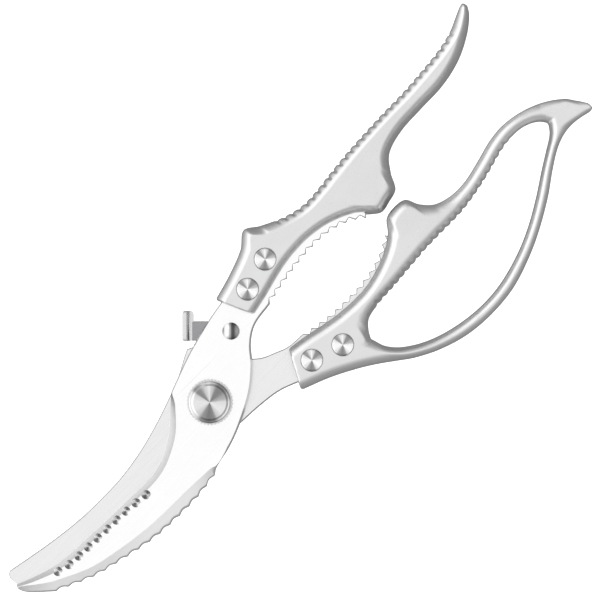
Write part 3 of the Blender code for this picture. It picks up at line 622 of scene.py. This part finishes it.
def spun(name, light, dark, roughness, ring_scale):
    """A turned face: concentric tool marks, with bright and dark rays painted into the colour by angle round the axis
    as a painted reflection.
    """
    look = Look(name, light, roughness)
    marks = look.node("TexWave", look.coords, wave_type="RINGS", rings_direction="Z", Scale=ring_scale,
                      Distortion=0.6, Detail=2.0)
    rays = look.noise(look.stretched((700, 700, 700)), 1.0, 3.0)
    around = look.node("TexGradient", look.coords, gradient_type="RADIAL")
    look.colour(look.bands(around, PAINTED_RAY_LOBES, dark, light), look.tint(marks, 0.9), look.tint(rays, 0.95))
    look.roughness(marks, 0.04, 0.08)
    look.bump(marks, 0.12, 0.00002)
    return look.made


def polished(name, colour, roughness, scale=1400.0):
    """Smooth steel with faint handling marks."""
    look = Look(name, colour, roughness)
    marks = look.noise(look.stretched((scale * 0.2, scale, scale)), 1.0, 4.0)
    cloud = look.noise(look.coords, 260.0, 2.0)
    look.colour(look.shaded(marks, 0.9, 1.05))
    look.roughness(cloud, 0.03, 0.08)
    look.bump(marks, 0.06, 0.00002)
    return look.made


# The dome's painted highlight and painted reflection, as (place across it, share from dark to light).
DOME_PAINTED_SHINE_BANDS = (
    (0.0, 0.45), (0.1, 0.62), (0.24, 0.25), (0.32, 0.0), (0.44, 0.0), (0.55, 0.45), (0.66, 1.0), (0.8, 0.72),
    (0.92, 0.42), (1.0, 0.2),
)


def domed(name, light, dark, roughness, radius, way):
    """A small polished dome with handling marks, a painted highlight towards one side and a painted dark reflection
    band past the middle.
    """
    look = Look(name, light, roughness)
    across = look.node("TexGradient", look.stretched((500.0 / radius,) * 3, -way, 0.5))
    marks = look.noise(look.coords, 1400.0, 3.0)
    look.colour(look.bands(across, DOME_PAINTED_SHINE_BANDS, dark, light), look.tint(marks, 0.9))
    look.roughness(marks, 0.03, 0.08)
    look.bump(marks, 0.05, 0.00002)
    return look.made


# -------- blades
def ground_plate(name, outline, low, high, face_up, holes, look, *more_looks):
    """A plate whose ground sides run from the outline at one face to a smaller outline at the other."""
    outer, face, hollow, lift = zip(*outline)
    thick = high - low
    ground = [min((a - b).length / 0.6, 1.0) for a, b in zip(outer, face)]
    wide = [WIDE_BREAK if h < 0 else 1.0 for h in hollow]
    breaks = [max(EDGE_BREAK * w * (1 - g), 0.04) for g, w in zip(ground, wide)]
    tip = min(face, key=lambda p: p.x)
    rims = [FINE_BREAK + (BACK_BREAK * w - FINE_BREAK) * (1 - g) for g, w in zip(ground, wide)]
    drops = [rim * (1 + 1.5 * (1 - g)) for rim, g in zip(rims, ground)]
    inside_outer = moved_in(outer, rims)
    inside_face = moved_in(face, [b * ease((p - tip).length, 0.8, 2.5) for p, b in zip(face, breaks)])
    lands, rim_tops = [], []
    for share, drop, g, h in zip(lift, drops, ground, hollow):
        land = max(EDGE_LAND + (thick - EDGE_LAND) * share, drop + 0.05 + 0.2 * g)
        lands.append(land if h else land + 0.9 * g * (1 - share))
        rim_tops.append(lands[-1] - (0.14 * g if h else 1.0 * g))
    tops = [thick - b * 2.2 for b in breaks]
    builder = bmesh.new()

    def height(rise):
        return low + rise if face_up else high - rise

    def ring(places, rises):
        return [builder.verts.new((p.x, p.y, height(r))) for p, r in zip(places, rises)]

    rings = [ring_of(builder, inside_outer, height(0)), ring(outer, drops), ring(outer, rim_tops),
             ring([a.lerp(b, 0.035 if h else 0.12) for a, b, h in zip(outer, face, hollow)], lands)]
    for share in (0.2, 0.4, 0.6, 0.8):
        rises = [land + (top - land) * (share + (share**1.9 - share) * h) for land, top, h in zip(lands, tops, hollow)]
        rings.append(ring([a.lerp(b, share) for a, b in zip(outer, face)], rises))
    rings += [ring(face, tops), ring_of(builder, inside_face, height(thick))]
    walls(builder, rings)
    strip = {v for r in rings[3:-1] for v, g in zip(r, ground) if g > 0.3}
    keen = {v for r in rings[3:-1] for v, g, h in zip(r, ground, hollow) if g > 0.3 and h > 0}
    first, last = [rings[0]], [rings[-1]]
    for place, radius in holes:
        wider = radius + HOLE_BREAK
        steps = ((wider, 0), (radius, HOLE_BREAK), (radius, thick - HOLE_BREAK), (wider, thick))
        bore = [ring_of(builder, circle(reach, place, HOLE_STEPS), height(rise)) for reach, rise in steps]
        walls(builder, bore)
        first.append(bore[0])
        last.append(bore[-1])
    cap(builder, first)
    cap(builder, last)
    for side in builder.faces:
        corners = set(side.verts)
        side.material_index = KEEN_SLOT if corners <= keen else GROUND_SLOT if corners <= strip else PLAIN_SLOT
    bmesh.ops.triangulate(builder, faces=builder.faces)
    made = piece_from(name, builder, look, 17.0)
    for other in more_looks:
        made.data.materials.append(other)
    return made


def dimple_cutters(places, top):
    """Drilled cups: a short straight wall over a cone. The cone's faces take one of three lit and shaded copies of one
    look by how near they lie to the dark ray: a painted reflection of bright and dark rays, fixed to the piece."""
    builder = bmesh.new()
    sides = 40
    rim = DIMPLE_RADIUS + 0.12
    steps = ((rim, 0.3), (rim, 0.02), (DIMPLE_RADIUS, -0.1), (DIMPLE_RADIUS, -DIMPLE_WALL), (0.25, -DIMPLE_DEPTH))
    last = DIMPLE_START + 2 * pi * (sides - 1) / sides
    for place in places:
        rings = [ring_of(builder, arc(radius, DIMPLE_START, last, sides - 1, place), top + rise)
                 for radius, rise in steps]
        walls(builder, [*rings, ring_of(builder, [place], top - DIMPLE_DEPTH - 0.05)])
        cap(builder, rings[:1])
    for side in builder.faces:
        middle = side.calc_center_median()
        out = middle.xy - min(places, key=lambda p: (p - middle.xy).length)
        near = abs(cos(atan2(out.y, out.x) - DIMPLE_PAINTED_RAY))
        side.material_index = next(slot for slot, least in CUP_PAINTED_RAY_SLOTS if near > least)
    bmesh.ops.triangulate(builder, faces=builder.faces)
    return builder


def front_blade(look, *more_looks):
    edge, edge_face = smooth(FRONT_EDGE, 14), smooth(FRONT_EDGE_FACE, 14)
    spine, spine_face, lifts = scallops(smooth(SPINE_CREST), smooth(SPINE_FACE))
    throat, throat_face = smooth(FRONT_THROAT, 10), smooth(FRONT_THROAT_FACE, 10)
    back, teeth = smooth(FRONT_BACK, 10), saw_teeth(smooth(FRONT_TEETH), TOOTH_PITCH, TOOTH_DEPTH, 1)
    tip, tip_face = smooth(FRONT_TIP, 8), smooth(FRONT_TIP_FACE, 8)
    tang = smooth(FRONT_TANG, 6)
    outline = joined((
        (back, back, 0), (edge, edge_face, 0.4), (tip, tip_face, 0), (spine, spine_face, 0, lifts),
        (throat, throat_face, -0.5), (teeth, teeth, 0), (tang, tang, 0),
    ))
    row = smooth(DIMPLE_ROW)
    cups = [along(row, length_of(row) * n / (DIMPLE_COUNT - 1))[0] for n in range(DIMPLE_COUNT)]
    rivets = [(place, RIVET_BORE) for place in THUMB_RIVETS]
    holes = [(Vector((0, 0)), SHANK_RADIUS + GAP), (LATCH_PIN, PIN_BORE), *rivets]
    made = ground_plate("front_blade_steel", outline, FRONT_LOW, FRONT_HIGH, True, holes, look, *more_looks)
    cut(made, dimple_cutters(cups, FRONT_HIGH)).use_self = True
    applied(made, look, 17.0, *more_looks)
    belongs(made, "front_half", "front_blade_steel", "front_blade")


def latch_place(along_arm, across_arm):
    way = Vector((cos(LATCH_TILT), sin(LATCH_TILT)))
    return LATCH_PIN + way * along_arm + Vector((-way.y, way.x)) * across_arm


def rear_blade(look, *more_looks):
    start, end = (latch_place(place, LATCH_NOSE_DEPTH) for place in LATCH_NOSE)
    flank_place = latch_place(LATCH_NOSE[1] + GAP, LATCH_NOSE_DEPTH)
    radius, flank = min(start.length, end.length) - GAP, atan2(flank_place.y, flank_place.x)
    ear = [*arc(radius - NOTCH_DEPTH, RIM_START, flank, 24), *arc(radius, flank, EAR_LEFT, 10)]
    edge, edge_face = smooth(REAR_EDGE, 10), smooth(REAR_EDGE_FACE, 10)
    heel, tang, throat, spine = smooth(REAR_HEEL, 8), smooth(REAR_TANG, 6), smooth(REAR_THROAT, 8), smooth(REAR_SPINE)
    teeth = saw_teeth(smooth(REAR_TEETH), TOOTH_PITCH, TOOTH_DEPTH, 1)
    tip, tip_face = smooth(REAR_TIP, 8), smooth(REAR_TIP_FACE, 8)
    outline = joined((
        (heel, heel, -0.5), (tang, tang, -0.5), (teeth, teeth, 0), (throat, throat, 0), (ear, ear, 0),
        (spine, spine, 0), (tip, tip_face, 0), (edge, edge_face, 0.4),
    ))
    holes = [(Vector((0, 0)), SHANK_RADIUS + GAP), *((place, RIVET_BORE) for place in FINGER_RIVETS)]
    made = ground_plate("rear_blade_steel", outline, REAR_LOW, REAR_HIGH, False, holes, look, *more_looks)
    belongs(made, "rear_half", "rear_blade_steel", "rear_blade")


# -------- handles
def grip_thickness(x):
    return HANDLE_HIGH - HANDLE_LOW - GRIP_THIN * ease(x, *GRIP_BLEND)


def groove(distance):
    """How deep the ribs' grooves are at a distance along the ribbed edge, from 0 to 1."""
    return max(0.0, cos(2 * pi * distance / RIB_PITCH)) ** 1.3


def corner_place(angle):
    """A place on the bars' long edge, between the side wall and the flat: a soft chamfer inside a round fillet."""
    x, y = cos(angle), sin(angle)
    reach = (abs(x) ** CORNER_POWER + abs(y) ** CORNER_POWER) ** (-1 / CORNER_POWER)
    return reach * x, reach * y


def rounded_start(first, second):
    """The two edges, with closer places in their first millimetre, and how far each is in from the full size."""
    close = [END_ROUND * share for share in (0.0, 0.08, 0.22, 0.42, 0.68, 1.0)]
    slower = (second[1] - second[0]).length / (first[1] - first[0]).length
    found = []
    for distance in close:
        inset = END_ROUND - sqrt(max(END_ROUND**2 - (END_ROUND - distance) ** 2, 0.0))
        found.append((along(first, distance)[0], along(second, distance * slower)[0], inset))
    travelled = 0.0
    for n in range(1, len(first)):
        travelled += (first[n] - first[n - 1]).length
        if travelled > END_ROUND + 0.2:
            found.append((first[n], second[n], 0.0))
    return found


def slants(places, index, across):
    """How much wider each edge's soft corner is along a slanted cross-section than square to the edge itself."""
    found = []
    before, after = places[max(index - 1, 0)], places[min(index + 1, len(places) - 1)]
    for edge in (0, 1):
        way = (after[edge] - before[edge]).normalized()
        found.append(min(1 / max(abs(way.cross(across.normalized())), 0.4), 2.5))
    return found


def handle_bar(stations, steps, corner_steps, steep, ribs=None, flat_hook=0.0):
    """A bar with soft long edges through stations, each a pair of places across from each other. Ribs gives where
    they start and end, their depth, and the edge they are on: -1 for the first and 1 for the second. Steep is how
    much taller than wide the soft edges are."""
    places = rounded_start(smooth([s[0] for s in stations], steps), smooth([s[1] for s in stations], steps))
    loops = []
    travelled = 0.0
    for index, (one, other, inset) in enumerate(places):
        if ribs and index:
            edge = 0 if ribs[3] < 0 else 1
            travelled += (places[index][edge] - places[index - 1][edge]).length
        middle = (one + other) / 2
        across = (other - one) / 2
        half_width = across.length - inset
        half_thick = min(grip_thickness(middle.x) / 2, TIP_HALF_THICK + half_width * 2) - inset
        corner = min(HANDLE_ROUND, half_width * 0.98, half_thick * 0.98)
        corner *= 1 - flat_hook * ease(middle.x, *HOOK_BLEND)
        tall = min(corner * steep, half_thick * 0.98)
        wide = [min(corner * slant, half_width * 0.98) for slant in slants(places, index, across)]
        depth = 0.0
        if ribs:
            fade = ease(one.x, ribs[0], ribs[0] + 4) * (1 - ease(one.x, ribs[1] - 6, ribs[1]))
            depth = ribs[2] * groove(travelled) * fade
        loop = []
        for quarter, (way, rise) in enumerate(((1, 1), (-1, 1), (-1, -1), (1, -1))):
            for n in range(corner_steps + 1):
                angle = (quarter + n / corner_steps) * pi / 2
                x, y = corner_place(angle)
                soft = wide[0] if way < 0 else wide[1]
                out = way * (half_width - soft) + soft * x
                up = rise * (half_thick - tall) + tall * y
                bite = depth * ease(ribs[3] * x, 0.3, 0.85) * -ribs[3] if ribs else 0.0
                place = middle + across.normalized() * (out + bite)
                loop.append((place.x, place.y, MID + up))
            if quarter in (0, 2):
                near, far = (half_width - wide[1], wide[0] - half_width)[::way]
                for share in (0.05, 0.3, 0.5, 0.7, 0.95):
                    place = middle + across.normalized() * (near + (far - near) * share)
                    loop.append((place.x, place.y, MID + rise * half_thick))
        loops.append(loop)
    return stacked(loops)


def fittings(made, outline, low, high, rivets):
    """The slot that holds the tang, and the stepped bores for the rivets."""
    grown = moved_in(outline, [-GAP] * len(outline))
    cut(made, prism(grown, low - GAP, high + GAP))
    head_low = heights("thumb_rivet_1_front")[1] - 1.1
    seat = HANDLE_LOW + 1.1
    for place in rivets:
        steps = ((0, -1), (3.88, -1), (3.88, seat), (RIVET_BORE, seat), (RIVET_BORE, head_low), (3.84, head_low),
                 (3.84, HANDLE_HIGH - 0.12), (3.98, HANDLE_HIGH + 0.02), (3.98, HANDLE_HIGH + 1), (0, HANDLE_HIGH + 1))
        cut(made, turned(steps, 64), place=(*place, 0))


def thumb_handle(look):
    bar = handle_bar(THUMB_STATIONS, 20, 8, 1.7, (57.0, 149.5, RIB_DEPTH, -1))
    made = piece_from("thumb_handle_casting", bar, look)
    front = [Vector(p) for p in ((20.0, 21.0), (24.0, 6.0), (34.0, 8.8))]
    outline = plain((front, smooth(FRONT_TEETH, 4), smooth(FRONT_TANG, 3)))
    fittings(made, outline, FRONT_LOW, FRONT_HIGH, THUMB_RIVETS)
    applied(made, look, 38.0)
    belongs(made, "front_half", "thumb_handle_casting", "thumb_handle")


def finger_handle(look):
    made = piece_from("finger_handle_casting", handle_bar(LOOP_STATIONS, 8, 6, 1.15, None, 0.5), look)
    cut(made, handle_bar(BRIDGE_STATIONS, 20, 6, 1.15, (61.0, 137.0, RIB_DEPTH * 1.1, 1), 0.5), "UNION")
    net = made.modifiers.new("net", "REMESH")
    net.mode = "VOXEL"
    net.voxel_size = 0.00038
    relax = made.modifiers.new("relax", "SMOOTH")
    relax.factor = 0.5
    relax.iterations = 4
    applied(made, look, 60.0)
    front = [Vector(p) for p in ((34.0, -5.0), (22.0, -4.0), (18.0, -15.0))]
    outline = plain((smooth(REAR_TANG, 3), smooth(REAR_TEETH, 4), front))
    fittings(made, outline, REAR_LOW, REAR_HIGH, FINGER_RIVETS)
    applied(made, look, 42.0)
    belongs(made, "rear_half", "finger_handle_casting", "finger_handle")


# -------- turned pieces
def rivet(name, place, look, body):
    head = heights(name + "_front")
    low = head[1] - 0.8
    front = [(0, 7.8), (1.3, 7.8), (1.3, head[0]), (2.2, head[0]), (2.2, low), *rounded(3.72, low, head[1], 0.38)[1:],
             (3.3, head[1] - 0.005), (3.24, head[1] - 0.05), (3.18, head[1] - 0.01), (0.35, head[1] - 0.10),
             (0, head[1] - 0.16)]
    made = piece_from(name + "_front_metal", turned(front), look, 25.0, (*place, 0))
    belongs(made, body, "spun_rivet", name + "_front")
    back_low, back_high = heights(name + "_back")
    back = [(0, back_low + 0.1), (3.1, back_low + 0.06), *rounded(3.75, back_low, back_low + 0.8, 0.12),
            (1.0, back_low + 0.8), (1.0, back_high - 0.2), (0.8, back_high), (0, back_high)]
    made = piece_from(name + "_back_metal", turned(back), look, 25.0, (*place, 0))
    belongs(made, body, "spun_rivet", name + "_back")


def pivot(look):
    low, high = heights("pivot_screw")
    nut_low, nut_high = heights("pivot_nut")
    head_low = high - 2.25
    screw = [(0, low), (2.3, low), (2.6, low + 0.3), (2.6, nut_high + 0.3), (4.0, nut_high + 0.3), (4.0, head_low),
             (6.9, head_low), (7.1, head_low + 0.2), (7.1, high - 0.95), (7.0, high - 0.75), (6.75, high - 0.55),
             (6.45, high - 0.5), (6.3, high - 0.55), (6.15, high - 0.45), (5.75, high - 0.12), (5.6, high),
             (4.2, high - 0.02), (2.8, high - 0.05), (1.4, high - 0.10), (0.3, high - 0.16), (0, high - 0.22)]
    made = piece_from("pivot_screw_turned", turned(screw, 128), look, 22.0)
    belongs(made, "front_half", "turned_pivot", "pivot_screw")
    end = nut_high / 2 - GAP
    nut = [(0, nut_low + 0.12), (6.0, nut_low + 0.05), (6.3, nut_low), (6.7, nut_low + 0.05), (7.0, nut_low + 0.3),
           (7.1, nut_low + 0.6), (7.1, nut_high - 0.15), (6.95, nut_high), (2.9, nut_high), (2.9, end), (0, end)]
    made = piece_from("pivot_nut_turned", turned(nut, 128), look, 22.0)
    for way in (-1, 1):
        hole = ((0, -1), (1.0, -1), (0.8, nut_low + 0.25), (0.8, 1.2), (0, 1.4))
        cut(made, turned(hole, 32), place=(way * 4.6, 0, 0))
    applied(made, look, 22.0)
    belongs(made, "front_half", "turned_pivot", "pivot_nut")


def washer(name, radius, hole, look, place=(0, 0), ticks=0):
    low, high = heights(name)
    soft = min(0.12, (high - low) / 3)

    def serrated(reach, height, angle):
        if not ticks or reach < radius - 0.5:
            return 0.0
        return -0.5 * max(0.0, cos(angle * ticks)) ** 2

    outer = rounded(radius, low, high, soft, 3)
    profile = [(hole, low + soft), (hole + soft, low), (radius - 0.6, low), *outer, (radius - 0.6, high),
               (hole + soft, high), (hole, high - soft)]
    ring = turned(profile, ticks * 8 if ticks else 96, True, serrated)
    made = piece_from(name + "_ring", ring, look, 28.0, (*place, 0))
    belongs(made, "front_half", "washer_steel" if ticks else "latch_steel", name)


def spring(look):
    low, high = heights("torsion_spring")
    low, high = low + SPRING_WIRE / 2, high - SPRING_WIRE / 2
    start, end = SPRING_ANGLES
    rows = [(SPRING_LEG_END, start, low)]
    for n in range(97):
        rows.append((SPRING_RADIUS, start + (end - start) * (n / 96), low + (high - low) * (n / 96)))
    rows.append((SPRING_LEG_END, end, high))
    points = [(reach * cos(angle), reach * sin(angle), height) for reach, angle, height in rows]
    made = piece_from("torsion_spring_wire", tube(points, SPRING_WIRE / 2), look, 50.0)
    belongs(made, "front_half", "spring_wire", "torsion_spring")


# -------- latch
def latch(steel, tab_look, dome_look):
    low, tab_top = heights("latch_lever")
    high = heights("latch_washer")[0] - 0.3
    half, depth = LATCH_HALF_WIDTH, LATCH_NOSE_DEPTH
    neck = asin(half / LATCH_HUB_RADIUS)
    inner, outer = TAB_REACH
    arm = [(inner + 0.7, -half), (inner + 0.7, half), (LATCH_NOSE[1] + 0.9, half), (LATCH_NOSE[1] + 0.25, half + 0.3),
           (LATCH_NOSE[1], depth - 0.2), (LATCH_NOSE[1] - 0.2, depth), (LATCH_NOSE[0] + 0.2, depth),
           (LATCH_NOSE[0], depth - 0.2), (LATCH_NOSE[0] - 0.4, half)]
    outline = [Vector(p) for p in (*arc(LATCH_HUB_RADIUS, neck, 2 * pi - neck, 48), *arm)]
    made = piece_from("latch_lever_steel", prism(outline, low, high, 0.2), steel, 30.0, (*LATCH_PIN, 0), LATCH_TILT)
    made.data.materials.append(tab_look)
    tab = latch_tab(inner, outer, low, high, tab_top)
    for side in tab.faces:
        side.material_index = 1
    cut(made, tab, "UNION", (*LATCH_PIN, 0), LATCH_TILT)
    cut(made, turned(((0, 0), (PIN_BORE, 0), (PIN_BORE, 8), (0, 8)), 48), place=(*LATCH_PIN, 0))
    applied(made, steel, 30.0, tab_look)
    belongs(made, "latch", "latch_steel", "latch_lever")
    tail_low, dome_top = heights("latch_rivet")
    tail_high, dome_low = low - 0.3, FRONT_HIGH + 0.3
    profile = [(0, tail_low), *rounded(DOME_RADIUS, tail_low, tail_high, 0.3), (1.6, tail_high), (1.6, dome_low),
               (2.8, dome_low), (DOME_RADIUS, dome_low + DOME_LIP)]
    rise = dome_top - dome_low - DOME_LIP
    for n in range(1, 13):
        angle = pi / 2 * n / 12
        reach = DOME_RADIUS * cos(angle) if n < 12 else 0
        profile.append((reach, dome_low + DOME_LIP + rise * sin(angle)))
    made = piece_from("latch_rivet_dome", turned(profile, 64), dome_look, 30.0, (*LATCH_PIN, 0))
    belongs(made, "front_half", "latch_rivet_steel", "latch_rivet")


def latch_tab(inner, outer, low, high, top):
    """The thumb tab: the lever's end bent up, leaning outwards, with its corners rounded."""
    thick = high - low
    soft = 0.4
    section = [Vector((inner, low)), Vector((outer - TAB_BEND * 1.5, low))]
    section += arc(TAB_BEND, radians(-80), radians(-10), 12, (outer - TAB_BEND * 1.6, low + TAB_BEND))
    section += [Vector((outer, top - soft)), *arc(soft, 0.2, pi / 2, 4, (outer - soft, top - soft)),
                *arc(soft, pi / 2, pi - 0.2, 4, (outer - thick + soft, top - soft)),
                Vector((outer - thick, top - soft))]
    section += arc(1.2, 0, -pi / 2, 8, (outer - thick - 1.2, high + 1.2))[1:]
    section += [Vector((inner, high))]
    side_low, side_high = TAB_SIDES
    middle = (inner + outer) / 2
    steps = [TAB_SOFT * (1 - cos(pi / 2 * n / 6)) for n in range(7)]
    loops = []
    for side, distance in [*((side_low + d, d) for d in steps), *((side_high - d, d) for d in reversed(steps))]:
        inset = TAB_SOFT - sqrt(max(TAB_SOFT**2 - (TAB_SOFT - distance) ** 2, 0.0))
        squeeze = 1 - inset * 0.8 / (outer - middle)
        lower = 1 - inset * 0.6 / (top - low)
        loops.append([(middle + (p.x - middle) * squeeze, side, low + (p.y - low) * lower) for p in section])
    return stacked(loops, True)


# -------- studio
# How bright the studio is by height, from -1 straight down to 1 straight up, away from the lamps and towards them.
SHADE_SIDE = ((-1.0, 0.20), (-0.6, 0.30), (-0.3, 0.37), (0.0, 0.42), (0.25, 0.50), (0.4, 0.61), (0.55, 0.73),
              (0.75, 0.87), (0.9, 1.0), (1.0, 1.07))
BRIGHT_SIDE = ((-1.0, 0.22), (-0.75, 0.34), (-0.5, 0.60), (-0.32, 1.1), (-0.12, 1.45), (0.15, 1.62), (0.65, 1.6),
               (0.86, 1.35), (0.97, 1.10), (1.0, 1.07))


def studio():
    builder = bmesh.new()
    bmesh.ops.create_grid(builder, x_segments=8, y_segments=8, size=1.6)
    mesh = bpy.data.meshes.new("studio_floor")
    builder.to_mesh(mesh)
    builder.free()
    floor = linked("studio_floor", mesh)
    floor.location = (0.05, 0.0, cad_box[0][2] - 0.0004)
    paper = bpy.data.materials.new("studio_paper")
    paper.use_nodes = True
    shader = paper.node_tree.nodes["Principled BSDF"]
    for socket, value in (("Base Color", (0.9, 0.9, 0.9, 1.0)), ("Roughness", 1.0), ("Specular IOR Level", 0.0),
                          ("Emission Color", (1.0, 1.0, 1.0, 1.0)), ("Emission Strength", 0.95)):
        shader.inputs[socket].default_value = value
    mesh.materials.append(paper)
    floor.visible_glossy = False

    world = bpy.data.worlds.new("studio")
    bpy.context.scene.world = world
    world.use_nodes = True
    nodes, links = world.node_tree.nodes, world.node_tree.links
    nodes.clear()
    direction = nodes.new("ShaderNodeTexCoord").outputs["Generated"]
    parts = nodes.new("ShaderNodeSeparateXYZ")
    links.new(direction, parts.inputs[0])

    def calc(operation, *values):
        made = nodes.new("ShaderNodeMath")
        made.operation = operation
        for socket, value in zip(made.inputs, values):
            if isinstance(value, float):
                socket.default_value = value
            else:
                links.new(value, socket)
        return made.outputs[0]

    def by_share(source, stops):
        """A ramp over a source that runs from -1 to 1."""
        return ramp(world.node_tree, calc("MULTIPLY_ADD", source, 0.5, 0.5), stops)

    x, y, z = parts.outputs
    flat = calc("SQRT", calc("ADD", calc("MULTIPLY", x, x), calc("MULTIPLY", y, y)))
    toward = nodes.new("ShaderNodeVectorMath")
    toward.operation = "DOT_PRODUCT"
    toward.inputs[1].default_value = (-0.64, 0.77, 0.0)
    links.new(direction, toward.inputs[0])
    side = calc("DIVIDE", toward.outputs["Value"], calc("MAXIMUM", flat, 0.0001))
    mask = by_share(side, ((0.0, 0.0), (0.66, 0.0), (0.84, 1.0), (1.0, 1.0)))
    shade_side, bright_side = (by_share(z, [(0.5 + h / 2, v / 2) for h, v in stops])
                               for stops in (SHADE_SIDE, BRIGHT_SIDE))
    blend = nodes.new("ShaderNodeMix")
    blend.data_type = "RGBA"
    links.new(mask, blend.inputs[0])
    links.new(shade_side, blend.inputs[6])
    links.new(bright_side, blend.inputs[7])
    lit = nodes.new("ShaderNodeBackground")
    lit.inputs["Strength"].default_value = 2.0
    links.new(blend.outputs[2], lit.inputs["Color"])
    seen = nodes.new("ShaderNodeBackground")
    seen.inputs["Color"].default_value = (0.97, 0.97, 0.97, 1.0)
    choose = nodes.new("ShaderNodeMixShader")
    links.new(nodes.new("ShaderNodeLightPath").outputs["Is Camera Ray"], choose.inputs[0])
    links.new(lit.outputs[0], choose.inputs[1])
    links.new(seen.outputs[0], choose.inputs[2])
    out = nodes.new("ShaderNodeOutputWorld")
    links.new(choose.outputs[0], out.inputs["Surface"])

    lens = bpy.data.cameras.new("camera")
    lens.lens = 200.0
    lens.sensor_width = 36.0
    camera = linked("camera", lens)
    camera.location = (0.04616, 0.002885, 1.1423)
    camera.rotation_euler = (0.0, 0.0, radians(-45))
    bpy.context.scene.camera = camera
    bpy.context.scene.view_settings.view_transform = "Standard"


# -------- assembly
studio()
# The keen band along the cutting edges is painted much darker than the blades' own steel: painted shade along the
# hollow-ground edge. The scaler strip keeps the blade's colour.
ground_looks = (brushed("cutting_edge_ground_painted_shade", 0.54, 0.30, 1.2, 1.0),
                brushed("scaler_ground", 0.95, 0.36, 1.2, 1.0))
# Three lit and shaded copies of one polished look for the cups: a painted reflection of bright and dark rays.
cup_painted_ray_looks = [polished(f"cup_drilled_{n}", shade, 0.3) for n, shade in enumerate((0.84, 0.66, 0.42), 1)]
front_blade(brushed("front_blade_brushed", 0.94, 0.22, 0.35, 0.5), *ground_looks, *cup_painted_ray_looks)
rear_blade(brushed("rear_blade_brushed", (0.81, 0.81, 0.815), 0.28, -0.15), *ground_looks)
casting = blasted("casting_blasted", 0.73, 0.32)
thumb_handle(casting)
finger_handle(casting)
# The rivets' and the pivot's turned faces carry a painted reflection: bright and dark rays in their colour, fixed to
# each piece.
rivet_look = spun("rivet_spun_painted_rays", 0.98, 0.08, 0.26, 900.0)
for grip, rivet_body, rivet_places in (("thumb", "front_half", THUMB_RIVETS), ("finger", "rear_half", FINGER_RIVETS)):
    for number, rivet_place in enumerate(rivet_places, 1):
        rivet(f"{grip}_rivet_{number}", rivet_place, rivet_look, rivet_body)
pivot(spun("pivot_spun_painted_rays", 0.8, 0.06, 0.26, 1100.0))
washer_look = polished("washer_turned", 0.66, 0.3)
for washer_name in ("front_washer", "back_washer"):
    washer(washer_name, 7.8, SHANK_RADIUS + GAP, washer_look, ticks=40)
# The lever and its washer are painted much darker than the tab, which is the same steel: painted shade.
lever_painted_shade_look = brushed("latch_brushed_painted_shade", (0.34, 0.34, 0.35), 0.26, 1.2)
washer("latch_washer", 3.4, PIN_BORE, lever_painted_shade_look, LATCH_PIN)
spring(polished("spring_drawn", (0.52, 0.52, 0.53), 0.28, 3000.0))
tab_look = brushed("latch_tab_brushed", 0.72, 0.26, 1.2)
# The latch dome's bright spot and dark band are a painted highlight and a painted reflection.
latch(lever_painted_shade_look, tab_look, domed("latch_dome_polished_painted_highlight", 0.9, 0.1, 0.2, DOME_RADIUS, radians(135)))
